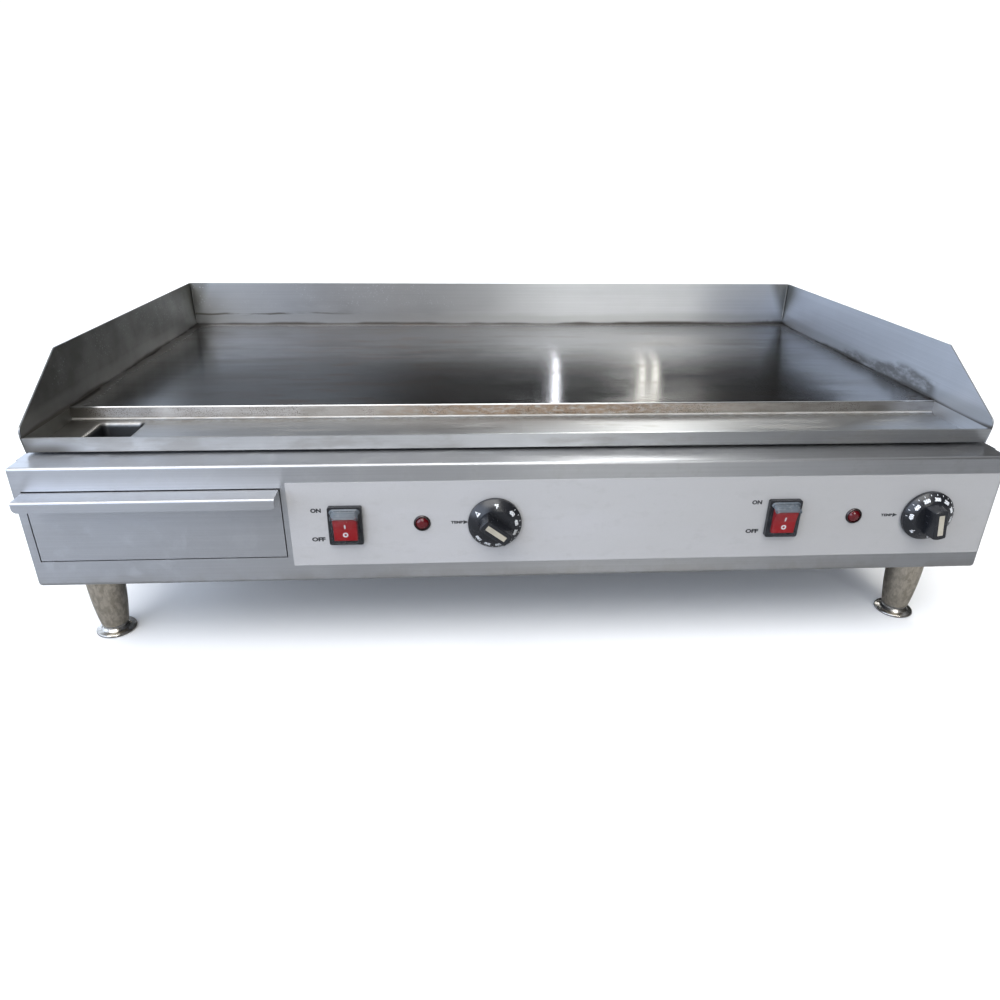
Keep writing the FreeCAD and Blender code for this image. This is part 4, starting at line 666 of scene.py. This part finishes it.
# %% Find the loose shells of a node
def shells(node):
    """The lowest and highest corners of each loose shell in a node's mesh."""
    copy = bmesh.new()
    copy.from_mesh(frame["nodes"][node].data)
    bmesh.ops.remove_doubles(copy, verts=copy.verts, dist=1e-6)
    waiting = set(copy.verts)
    found = []
    while waiting:
        shell, edge = set(), [waiting.pop()]
        while edge:
            vertex = edge.pop()
            shell.add(vertex)
            near = [link.other_vert(vertex) for link in vertex.link_edges]
            fresh = [other for other in near if other in waiting]
            waiting.difference_update(fresh)
            edge.extend(fresh)
        places = [vertex.co for vertex in shell]
        found.append((Vector([min(p[i] for p in places) for i in range(3)]),
                      Vector([max(p[i] for p in places) for i in range(3)])))
    copy.free()
    return found


screw_shells = shells("case_screws")
print(len(screw_shells), "case screws")

# %% Screw recipe
HEAD_HEIGHT = 2.2 * MM
tree, size = recipe("cross_recess_screw", {"Head radius": 3.9 * MM, "Head height": HEAD_HEIGHT,
                                           "Shank radius": 2.0 * MM, "Length": 9.0 * MM})
crown = calculate(tree, "DIVIDE", times(tree, size["Head radius"], size["Head radius"]),
                  times(tree, size["Head height"], 2.0))
ball_radius = plus(tree, crown, times(tree, size["Head height"], 0.5))
ball = shape(tree, "MeshUVSphere", {"Segments": 96, "Rings": 72, "Radius": ball_radius})
ball_down = along_z(tree, minus(tree, size["Head height"], ball_radius))
ball = shape(tree, "Transform", {"Geometry": ball, "Translation": ball_down})
bar = shape(tree, "MeshCylinder", {"Vertices": 40, "Radius": size["Head radius"],
                                   "Depth": size["Head height"]})
half_up = along_z(tree, times(tree, size["Head height"], 0.5))
bar = shape(tree, "Transform", {"Geometry": bar, "Translation": half_up})
dome = add(tree, "GeometryNodeMeshBoolean", {"Mesh 2": bar}, operation="INTERSECT")
tree.links.new(ball, dome.inputs["Mesh 2"])
slots = []
for turn in (0.0, math.pi / 2):
    blade = shape(tree, "MeshCube", {"Size": (4.2 * MM, 0.8 * MM, 2.4 * MM)})
    slots.append(shape(tree, "Transform", {"Geometry": blade, "Rotation": (0, 0, turn + 0.5),
                                           "Translation": (0, 0, HEAD_HEIGHT)}))
cut = add(tree, "GeometryNodeMeshBoolean", {"Mesh 1": dome.outputs[0]}, operation="DIFFERENCE")
for blade in slots:
    tree.links.new(blade, cut.inputs["Mesh 2"])
shank = shape(tree, "MeshCylinder", {"Vertices": 24, "Radius": size["Shank radius"],
                                     "Depth": size["Length"]})
half_down = along_z(tree, times(tree, size["Length"], -0.5))
shank = shape(tree, "Transform", {"Geometry": shank, "Translation": half_down})
whole = add(tree, "GeometryNodeJoinGeometry")
for part in (cut.outputs[0], shank):
    tree.links.new(part, whole.inputs[0])
finish_recipe(tree, whole.outputs[0], zinc_plate)

# %% Place the screws
screws = []
for number, (low, high) in enumerate(screw_shells):
    extent = high - low
    axis = max(range(3), key=lambda i: extent[i])
    middle = (low + high) / 2
    outward = Vector((0, 0, 0))
    outward[axis] = 1.0 if middle[axis] > 0 or axis == 2 else -1.0
    seat = middle + outward * (extent[axis] / 2 - HEAD_HEIGHT)
    screw = grow(f"screw_{number}", tree, Length=extent[axis] - HEAD_HEIGHT)
    turn = outward.to_track_quat("Z", "Y").to_matrix().to_4x4() @ Matrix.Rotation(number * 0.9, 4, "Z")
    screws.append(moved(screw, Matrix.Translation(seat) @ turn))
case_screws = joined("cross_head_screws", screws)
ride_on(case_screws, "griddle", "zinc_steel", "case_screws")


# %% [markdown]
# ## Weld beads in the back corners
# The side guards are welded to the back guard from the inside, and the bead was left as it ran: a row of
# small overlapping ripples. Each bead is a line of points from the plate to the guard's top, with a
# flattened ball on every point, slightly varied in size by a seeded random value.

# %% Weld recipe
tree, size = recipe("weld_bead", {"Start": (0.0, 0.0, 0.0), "End": (0.0, 0.0, 1.0), "Radius": 1.1 * MM,
                                  "Spacing": 0.9 * MM, "Seed": 3})
line = shape(tree, "CurvePrimitiveLine", {"Start": size["Start"], "End": size["End"]})
dots = shape(tree, "ResampleCurve", {"Curve": line, "Length": size["Spacing"]}, mode="LENGTH")
ripple = shape(tree, "MeshIcoSphere", {"Radius": size["Radius"], "Subdivisions": 2})
vary = add(tree, "FunctionNodeRandomValue", {"Min": (0.8, 0.8, 0.45), "Max": (1.1, 1.1, 0.7),
                                             "Seed": size["Seed"]}, data_type="FLOAT_VECTOR").outputs[0]
bead = shape(tree, "InstanceOnPoints", {"Points": dots, "Instance": ripple, "Scale": vary})
finish_recipe(tree, bead, back_guard_steel)

# %% Run the beads
guard_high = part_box("back_splash_guard")[1]
plate_top = plate_high.z * MM
beads = []
for side, name in ((-1, "left"), (1, "right")):
    corner_x = side * (guard_high.x - 0.9 * MM)
    corner_y = plate_high.y * MM - 0.6 * MM
    beads.append(grow(f"weld_{name}", tree, Start=(corner_x, corner_y, plate_top + 9 * MM),
                      End=(corner_x, corner_y, guard_high.z - 1.2 * MM), Seed=5 + side))
weld = joined("corner_weld_beads", beads)
ride_on(weld, "griddle", "splash_stainless")


# %% [markdown]
# ## The seam between plate and trough
# The plate's front face is joined to the trough's floor by a long weld that was ground to a hollow
# fillet, so the bright trough sheet seems to climb a few millimetres up the plate. It is made as a round bar
# that is half sunk in both, swept along the plate. Its radius wanders a little from point to point, with a
# noise that reads the place on the line.

# %% Seam recipe
tree, size = recipe("ground_seam", {"Start": (0.0, 0.0, 0.0), "End": (1.0, 0.0, 0.0), "Radius": 2.6 * MM,
                                    "Stations": 180, "Waver": 0.05})
line = shape(tree, "CurvePrimitiveLine", {"Start": size["Start"], "End": size["End"]})
line = shape(tree, "ResampleCurve", {"Curve": line, "Count": size["Stations"]})
station = shape(tree, "InputPosition")
wander = add(tree, "ShaderNodeTexNoise", {"Vector": station, "Scale": 90.0, "Detail": 2.0}).outputs["Fac"]
wander = times(tree, minus(tree, wander, 0.5), size["Waver"])
thickness = times(tree, plus(tree, wander, 1.0), size["Radius"])
section = shape(tree, "CurvePrimitiveCircle", {"Resolution": 16, "Radius": 1.0})
seam = shape(tree, "CurveToMesh", {"Curve": line, "Profile Curve": section, "Scale": thickness,
                                   "Fill Caps": True})
finish_recipe(tree, seam, seam_steel)

# %% Run the seam
seam_place = Vector((0.0, plate_low.y + 0.9, plate_low.z + 0.4)) * MM
seam_reach = Vector((plate_high.x - 0.2, 0.0, 0.0)) * MM
seam = grow("ground_seam", tree, Start=seam_place - seam_reach, End=seam_place + seam_reach)
ride_on(seam, "griddle", "splash_stainless")


# %% [markdown]
# ## The soft boots over the switches
# Each rocker switch wears a clear soft boot that keeps water out. It is a rounded box with a flange, and its
# side wall is folded like a bellows, so that the rocker can tip inside it. The shape follows a rule, so it
# is grown from a cylinder: every vertex keeps its direction from the middle, is pushed out to a rounded
# rectangle, and is drawn in and out by a wave that depends on its height. Its upper side leans in over the
# rocker. A Solidify modifier gives it a wall.

# %% Boot recipe
tree, size = recipe("bellows_boot", {"Half width": 12.0 * MM, "Half height": 16.0 * MM, "Rise": 8.0 * MM,
                                     "Corner": 4.0 * MM, "Fold": 0.9 * MM, "Folds": 3.0,
                                     "Lean": 4.5 * MM, "Flange": 1.5 * MM})
tube = shape(tree, "MeshCylinder", {"Vertices": 64, "Side Segments": 40, "Fill Segments": 1,
                                    "Radius": 1.0, "Depth": 1.0}, fill_type="NGON")
at = add(tree, "ShaderNodeSeparateXYZ", {0: shape(tree, "InputPosition")}).outputs
level = plus(tree, at[2], 0.5)
swing = calculate(tree, "COSINE", times(tree, level, times(tree, size["Folds"], 2 * math.pi)))
fold = times(tree, calculate(tree, "MULTIPLY_ADD", swing, -0.5, 0.5), size["Fold"])
above_flange = smooth_step(tree, level, 0.16, 0.20)
drawn_in = calculate(tree, "MULTIPLY_ADD", above_flange, size["Flange"], fold)
top_round = times(tree, smooth_step(tree, level, 0.90, 1.0), 0.8 * MM)
inset = plus(tree, drawn_in, top_round)
upper_side = smooth_step(tree, at[1], 0.1, 0.6)
lean = times(tree, times(tree, upper_side, size["Lean"]), smooth_step(tree, level, 0.2, 1.0))


def rounded_side(component, half, inset):
    """One coordinate of a rounded rectangle, drawn in by the fold at this height."""
    straight = minus(tree, minus(tree, half, size["Corner"]), inset)
    low = times(tree, straight, -1.0)
    flat = calculate(tree, "MINIMUM", calculate(tree, "MAXIMUM", component, low), straight)
    return calculate(tree, "MULTIPLY_ADD", component, size["Corner"], flat)


new_place = add(tree, "ShaderNodeCombineXYZ", {0: rounded_side(at[0], size["Half width"], inset),
                                               1: rounded_side(at[1], size["Half height"],
                                                               plus(tree, inset, lean)),
                                               2: times(tree, level, size["Rise"])})
shaped = shape(tree, "SetPosition", {"Geometry": tube, "Position": new_place.outputs[0]})
finish_recipe(tree, shaped, clear_boot)

# %% Fit the boots
wall = 0.7 * MM
fold_band = 8.0 * MM
facing = Matrix.Rotation(math.radians(90), 4, "X")
for side in ("left", "right"):
    low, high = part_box(f"{side}_switch_boot")
    boot = grow(f"{side}_bellows_boot", tree, **{"Half width": (high.x - low.x) / 2,
                                                 "Half height": (high.z - low.z) / 2,
                                                 "Rise": high.y - low.y})
    shell = bmesh.new()
    shell.from_mesh(boot.data)
    floor = [face for face in shell.faces if all(vertex.co.z < 1e-5 for vertex in face.verts)]
    bmesh.ops.delete(shell, geom=floor, context="FACES")
    shell.to_mesh(boot.data)
    shell.free()
    moved(boot, Matrix.Translation(((low.x + high.x) / 2, high.y, (low.z + high.z) / 2)) @ facing)
    thicken = boot.modifiers.new("wall", "SOLIDIFY")
    thicken.thickness = wall
    thicken.offset = -1.0
    for face in boot.data.polygons:
        face.use_smooth = True
    solid = bpy.data.meshes.new_from_object(boot.evaluated_get(bpy.context.evaluated_depsgraph_get()))
    boot.modifiers.remove(thicken)
    boot.data = solid
    solid.materials.clear()
    for material in (clear_boot, boot_folds_painted_shade):
        solid.materials.append(material)
    # Faces in the upper band, except the front, take the folds' dark copy: painted shade.
    for face in solid.polygons:
        face.material_index = int(face.center.z > high.z - fold_band and face.normal.y > -0.95)
    ride_on(boot, "griddle", "clear_boot", f"{side}_switch_boot")


# %% [markdown]
# ## Ribs on the cable gland
# The gland's dome nut has grip ribs. A rib is a small round bar, half sunk in the nut, and one stands on each
# point of a circle. The circle's size and the number of ribs are inputs.

# %% Rib recipe
tree, size = recipe("grip_ribs", {"Radius": 11.6 * MM, "Count": 20, "Rib length": 8.0 * MM,
                                  "Rib width": 1.2 * MM})
circle = shape(tree, "CurvePrimitiveCircle", {"Resolution": size["Count"], "Radius": size["Radius"]})
posts = shape(tree, "CurveToPoints", {"Curve": circle}, mode="EVALUATED")
rib = shape(tree, "MeshCylinder", {"Vertices": 10, "Radius": times(tree, size["Rib width"], 0.5),
                                   "Depth": size["Rib length"]})
ribs = shape(tree, "InstanceOnPoints", {"Points": posts, "Instance": rib})
finish_recipe(tree, ribs, gland_plastic)

# %% Fit the ribs
gland_low, gland_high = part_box("cable_gland")
gland_middle = (gland_low + gland_high) / 2
gland_ribs = grow("gland_grip_ribs", tree)
moved(gland_ribs, Matrix.Translation((gland_middle.x, gland_high.y - 11.5 * MM, gland_middle.z)) @ facing)
ride_on(gland_ribs, "griddle", "gland_plastic")


# %% [markdown]
# ## Printing
# The only lettering is what any such control has: ON, OFF, TEMP with an arrow, and a dial from 150 to 450 in
# degrees F. Ink is a thin layer on the surface below it. Each word is a text curve turned into a mesh, moved
# and turned in the panel's plane, and then laid on its part: a ray from the front finds how far away the
# surface is at every vertex, so the words follow the flat label and the sloping skirt of the dial alike.

# %% Lay ink on a part
def surface_of(node):
    """The faces of a node, ready to be hit by rays."""
    mesh = frame["nodes"][node].data
    return BVHTree.FromPolygons([vertex.co for vertex in mesh.vertices],
                                [face.vertices for face in mesh.polygons])


def flat_text(words, height, width=None, bold=0.055):
    """A word as a thin mesh about its own middle, with capitals of this height and, if given, this width."""
    curve = bpy.data.curves.new("words", "FONT")
    curve.body = words
    curve.size = 1.0
    curve.align_x = "CENTER"
    curve.align_y = "CENTER"
    curve.extrude = 0.01
    curve.offset = bold
    curve.resolution_u = 3
    text = bpy.data.objects.new("words", curve)
    scene.collection.objects.link(text)
    mesh = bpy.data.meshes.new_from_object(text.evaluated_get(bpy.context.evaluated_depsgraph_get()))
    bpy.data.objects.remove(text)
    xs = [vertex.co.x for vertex in mesh.vertices]
    ys = [vertex.co.y for vertex in mesh.vertices]
    tall = height / (max(ys) - min(ys))
    wide = width / (max(xs) - min(xs)) if width else tall
    mesh.transform(Matrix.Diagonal((wide, tall, 1.0, 1.0)) @ Matrix.Translation(
        (-(max(xs) + min(xs)) / 2, -(max(ys) + min(ys)) / 2, 0)))
    return mesh


def flat_shape(points):
    """A flat outline as a thin mesh, for arrows and ticks."""
    made = bmesh.new()
    front = [made.verts.new((x, y, 0.01)) for x, y in points]
    back = [made.verts.new((x, y, -0.01)) for x, y in points]
    made.faces.new(front)
    made.faces.new(back[::-1])
    for i in range(len(points)):
        j = (i + 1) % len(points)
        made.faces.new((front[j], front[i], back[i], back[j]))
    mesh = bpy.data.meshes.new("shape")
    made.to_mesh(mesh)
    made.free()
    return mesh


INK = 0.06 * MM
SUNK = 0.03 * MM


def print_on(name, node, marks, ink, thick=INK):
    """Lay marks on a node. A mark is a mesh, its place (x, z) on the front and its turn in radians."""
    surface = surface_of(node)
    pieces = []
    for mesh, (x, z), turn in marks:
        place = Matrix.Translation((x, 0, z)) @ facing @ Matrix.Rotation(turn, 4, "Z")
        for vertex in mesh.vertices:
            on_front = vertex.co.z > 0
            flat = place @ Vector((vertex.co.x, vertex.co.y, 0))
            hit = surface.ray_cast(Vector((flat.x, -1.0, flat.z)), Vector((0, 1, 0)))[0]
            depth = hit.y if hit else flat.y
            vertex.co = (flat.x, depth - thick if on_front else depth + SUNK, flat.z)
        mesh.materials.clear()
        mesh.materials.append(ink)
        pieces.append(bpy.data.objects.new(name, mesh))
    return joined(name, pieces)


# %% Words on the label
knob_low, knob_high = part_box("left_knob")
level = (knob_low.z + knob_high.z) / 2
tall_caps = 4.4 * MM
small_caps = 2.8 * MM
words = []
for on_x, on_rise, off_x, off_rise in ((-191.3, 14.2, -191.0, -15.1), (217.5, 15.7, 217.1, -14.5)):
    words.append((flat_text("ON", tall_caps, 9.6 * MM), (on_x * MM, level + on_rise * MM), 0.0))
    words.append((flat_text("OFF", tall_caps, 12.4 * MM), (off_x * MM, level + off_rise * MM), 0.0))
arrow = [(-2.1 * MM, 2.1 * MM), (-2.1 * MM, -2.1 * MM), (2.4 * MM, 0.0)]
for temp_x in (-63.6, 346.6):
    words.append((flat_text("TEMP", small_caps, 11.4 * MM), (temp_x * MM, level + 0.2 * MM), 0.0))
    words.append((flat_shape(arrow), ((temp_x + 8.0) * MM, level + 0.2 * MM), 0.0))
label_print = print_on("label_printing", "control_label", words, black_ink)
ride_on(label_print, "griddle", "label_grey")

# %% Marks on the rockers
for side in ("left", "right"):
    low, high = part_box(f"{side}_switch_rocker")
    x = (low.x + high.x) / 2
    z = (low.z + high.z) / 2
    bar_mark = [(across_bar * 0.65 * MM, along_bar * 2.2 * MM)
                for across_bar, along_bar in ((-1, 1), (-1, -1), (1, -1), (1, 1))]
    marks = [(flat_shape(bar_mark), (x, z + 2.6 * MM), 0.0),
             (flat_text("O", 5.0 * MM, 5.0 * MM, 0.06), (x, z - 6.2 * MM), 0.0)]
    rocker_print = print_on(f"{side}_rocker_marks", f"{side}_switch_rocker", marks, white_ink)
    ride_on(rocker_print, f"{side}_rocker", "red_rocker")


# %% [markdown]
# ## The dial
# The knob's sloping skirt is the dial. Its pointer is a triangle, and the numbers go round from it at equal
# angles. The small ticks between them repeat, so they come from a recipe: points on an arc, a thin bar
# on each, turned to point at the middle. They are laid on the skirt by the same rays as the words.

# %% Tick recipe
tree, size = recipe("dial_ticks", {"Radius": 23.2 * MM, "Start angle": 0.0, "Sweep": math.pi,
                                   "Count": 13, "Tick length": 1.0 * MM, "Tick width": 0.5 * MM})
arc = shape(tree, "CurveArc", {"Resolution": size["Count"], "Radius": size["Radius"],
                               "Start Angle": size["Start angle"], "Sweep Angle": size["Sweep"]},
            mode="RADIUS")
stops = shape(tree, "CurveToPoints", {"Curve": arc}, mode="EVALUATED")
bar_size = add(tree, "ShaderNodeCombineXYZ", {0: size["Tick length"], 1: size["Tick width"], 2: 0.02})
tick = shape(tree, "MeshCube", {"Size": bar_size.outputs[0]})
spot = add(tree, "ShaderNodeSeparateXYZ", {0: shape(tree, "InputPosition")}).outputs
turn = along_z(tree, calculate(tree, "ARCTAN2", spot[1], spot[0]))
ticks = shape(tree, "InstanceOnPoints", {"Points": stops, "Instance": tick, "Rotation": turn})
finish_recipe(tree, ticks, white_ink)

# %% Print the dials
pointer_angle = {"left": 143.0, "right": 279.0}
number_start = 76.0
number_step = 30.0
pointer = [(-2.5 * MM, -1.9 * MM), (2.5 * MM, -1.9 * MM), (0.0, 2.5 * MM)]
for side in ("left", "right"):
    low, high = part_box(f"{side}_knob")
    middle = (low + high) / 2
    first = pointer_angle[side] + number_start

    def on_dial(angle, radius):
        """A place on the dial, and the turn that points a mark outwards there."""
        across_dial = math.radians(angle)
        return ((middle.x + radius * math.cos(across_dial), middle.z + radius * math.sin(across_dial)),
                across_dial - math.pi / 2)

    marks = [(flat_shape(pointer), *on_dial(pointer_angle[side], 20.4 * MM)),
             (flat_text("°F", 3.6 * MM), *on_dial(pointer_angle[side] - 56.0, 19.8 * MM))]
    for count in range(7):
        marks.append((flat_text(str(150 + 50 * count), 3.1 * MM, 5.9 * MM),
                      *on_dial(first + number_step * count, 19.7 * MM)))
    tick_ring = grow(f"{side}_ticks", tree, **{"Start angle": math.radians(first),
                                               "Sweep": math.radians(number_step * 6)})
    marks.append((tick_ring.data.copy(), (middle.x, middle.z), 0.0))
    bpy.data.objects.remove(tick_ring)
    dial = print_on(f"{side}_dial_printing", f"{side}_knob", marks, white_ink, thick=0.22 * MM)
    ride_on(dial, f"{side}_temperature_knob", "black_plastic")


# %% [markdown]
# ## Faceted lamp lenses
# The small red lamps have a lens moulded with facets, which catch the light at many angles. A low dome with
# few, flat faces gives just that: rings of facets that are turned by half a step from one to the next.

# %% Lens
def faceted_dome(name, low, high, around=12, rings=3):
    """A dome of flat facets inside a box, its back closed, looking out along -Y."""
    centre = (low + high) / 2
    radius = (high.x - low.x) / 2
    rise = high.y - low.y
    made = bmesh.new()
    back = [made.verts.new((centre.x + radius * math.cos(a), high.y, centre.z + radius * math.sin(a)))
            for a in (2 * math.pi * i / around for i in range(around))]
    made.faces.new(back)
    edge = back
    for ring in range(rings + 1):
        lean = math.radians(84.0 * ring / rings) if ring else 0.0
        shift = 0.5 * (ring % 2)
        across_ring = radius * (1.0 if not ring else 1.0 - 0.86 * (ring / rings) ** 1.5)
        depth = high.y - rise * (0.45 if not ring else 0.45 + 0.55 * math.sin(lean))
        angles = [2 * math.pi * (i + shift) / around for i in range(around)]
        fresh = [made.verts.new((centre.x + across_ring * math.cos(a), depth,
                                 centre.z + across_ring * math.sin(a))) for a in angles]
        for i in range(around):
            j = (i + 1) % around
            if ring % 2:
                made.faces.new((edge[i], edge[j], fresh[i]))
                made.faces.new((edge[j], fresh[j], fresh[i]))
            elif ring:
                made.faces.new((edge[i], edge[j], fresh[j]))
                made.faces.new((edge[i], fresh[j], fresh[i]))
            else:
                made.faces.new((edge[i], edge[j], fresh[j], fresh[i]))
        edge = fresh
    made.faces.new(edge)
    bmesh.ops.recalc_face_normals(made, faces=made.faces)
    mesh = bpy.data.meshes.new(name)
    made.to_mesh(mesh)
    made.free()
    mesh.materials.append(red_lens)
    dome_object = bpy.data.objects.new(name, mesh)
    scene.collection.objects.link(dome_object)
    return dome_object


for side in ("left", "right"):
    low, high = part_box(f"{side}_lamp_lens")
    lens_piece = faceted_dome(f"{side}_faceted_lens", low, high)
    ride_on(lens_piece, "griddle", "red_lens", f"{side}_lamp_lens")


# %% [markdown]
# ## Floor and light
# The object stands on a plain pale floor in a white studio. Steel is a mirror, so what it shows is the room.
# The room is cool and bright on the left and dim on the right, so the left guard, which looks right, is dark,
# and the right guard is light. Straight behind it is dark, with a few narrow windows, and brushed steel draws
# those out into tall streaks. One wide soft sun lights the floor evenly. In the mirror of the steel the floor
# is greyer than it looks, as a floor in a real room would be.

# %% Floor
def layers(tree, *steps):
    """Colours laid over each other: each step is a mask and a colour."""
    colour = (0.0, 0.0, 0.0, 1.0)
    for mask, over in steps:
        over = over if isinstance(over, bpy.types.NodeSocket) else (*over, 1.0)
        colour = add(tree, "ShaderNodeMix", {0: mask, 6: colour, 7: over}, data_type="RGBA").outputs[2]
    return colour


pale = bpy.data.materials.new("pale_floor")
pale.use_nodes = True
ground = pale.node_tree
straight_view = add(ground, "ShaderNodeLightPath").outputs["Is Camera Ray"]
pale_colour = layers(ground, (1.0, (0.32, 0.32, 0.32)), (straight_view, (0.96, 0.96, 0.96)))
pale_shader = ground.nodes["Principled BSDF"]
ground.links.new(pale_colour, pale_shader.inputs["Base Color"])
pale_shader.inputs["Roughness"].default_value = 0.9
pale_shader.inputs["Specular IOR Level"].default_value = 0.0
floor_mesh = bpy.data.meshes.new("floor")
reach = 30.0
floor_mesh.from_pydata([(-reach, -reach, 0), (reach, -reach, 0), (reach, reach, 0), (-reach, reach, 0)], [],
                       [(0, 1, 2, 3)])
floor_mesh.transform(Matrix.Translation((0, 0, cad_box[0][2] - 0.1 * MM)))
floor_mesh.materials.append(pale)
floor = bpy.data.objects.new("floor", floor_mesh)
scene.collection.objects.link(floor)

# %% Room
world = bpy.data.worlds.new("studio")
scene.world = world
world.use_nodes = True
sky = world.node_tree
sky.nodes.clear()
direction = add(sky, "ShaderNodeTexCoord").outputs["Generated"]
to_right, to_back, to_top = add(sky, "ShaderNodeSeparateXYZ", {0: direction}).outputs


def window(turn, rise, half_width, half_height, soft):
    """1 inside a soft box in the room, at a turn to the right of straight back and a rise, in degrees."""
    turn, rise = math.radians(turn), math.radians(rise)
    centre = Vector((math.sin(turn) * math.cos(rise), math.cos(turn) * math.cos(rise), math.sin(rise)))
    sideways = Vector((math.cos(turn), -math.sin(turn), 0.0))
    upwards = sideways.cross(centre)
    mask = smooth_step(sky, add(sky, "ShaderNodeVectorMath", {0: direction, 1: centre},
                                operation="DOT_PRODUCT").outputs["Value"], 0.0, 0.1)
    for line, half in ((sideways, half_width), (upwards, half_height)):
        offset = add(sky, "ShaderNodeVectorMath", {0: direction, 1: line}, operation="DOT_PRODUCT")
        distance = calculate(sky, "ABSOLUTE", offset.outputs["Value"])
        edge = math.sin(math.radians(half))
        mask = times(sky, mask, smooth_step(sky, distance, edge + soft, edge))
    return mask


behind = layers(sky, (1.0, (0.04, 0.04, 0.04)),
                (smooth_step(sky, to_right, -0.02, -0.20), (0.24, 0.265, 0.30)),
                (smooth_step(sky, to_right, -0.32, -0.46), (1.80, 2.05, 2.45)))
before = layers(sky, (1.0, (0.10, 0.095, 0.09)), (smooth_step(sky, to_right, 0.50, 0.40), (0.66, 0.65, 0.64)),
                (smooth_step(sky, to_right, 0.20, 0.05), (0.15, 0.14, 0.13)),
                (smooth_step(sky, to_right, -0.16, -0.44), (2.45, 2.80, 3.45)))
room = layers(sky, (1.0, behind), (smooth_step(sky, to_back, 0.12, -0.12), before),
              (smooth_step(sky, to_top, 0.50, 0.80), (0.50, 0.505, 0.52)))
# Each window: its turn and rise, half its width and half its height in degrees, its soft edge, and its light.
for place, colour in (((8.1, 26.0, 0.10, 26.0, 0.002), (9.0, 9.2, 9.8)),
                      ((14.9, 24.0, 0.08, 22.0, 0.002), (5.0, 4.9, 4.5)),
                      ((15.9, 24.0, 0.12, 22.0, 0.002), (4.5, 4.4, 4.0)),
                      ((18.8, 46.0, 2.2, 14.0, 0.04), (12.0, 12.0, 11.6)),
                      ((171.9, 30.0, 1.0, 32.0, 0.02), (5.5, 5.5, 5.3)),
                      ((163.4, 26.0, 0.35, 32.0, 0.006), (16.0, 16.0, 15.2))):
    room = layers(sky, (1.0, room), (window(*place), colour))
shine = add(sky, "ShaderNodeBackground", {"Color": room, "Strength": 1.0}).outputs[0]
backdrop = add(sky, "ShaderNodeBackground", {"Color": (1, 1, 1, 1), "Strength": 1.05}).outputs[0]
to_camera = add(sky, "ShaderNodeLightPath").outputs["Is Camera Ray"]
seen = add(sky, "ShaderNodeMixShader", {0: to_camera, 1: shine, 2: backdrop}).outputs[0]
add(sky, "ShaderNodeOutputWorld", {"Surface": seen})

# %% Sun
sun = bpy.data.lights.new("soft_sun", "SUN")
sun.energy = 2.3
sun.angle = math.radians(50)
sun.color = (1.0, 1.0, 1.0)
sun_object = bpy.data.objects.new("soft_sun", sun)
sun_object.matrix_world = Vector((0.20, 0.50, -1.0)).to_track_quat("-Z", "Y").to_matrix().to_4x4()
scene.collection.objects.link(sun_object)
scene.view_settings.view_transform = "Standard"
scene.view_settings.look = "None"
print("room and sun placed")


# %% [markdown]
# ## Close
# The frame's box, found at the start, is printed at the end.

# %% Print the frame's box
print("cad box", cad_box)
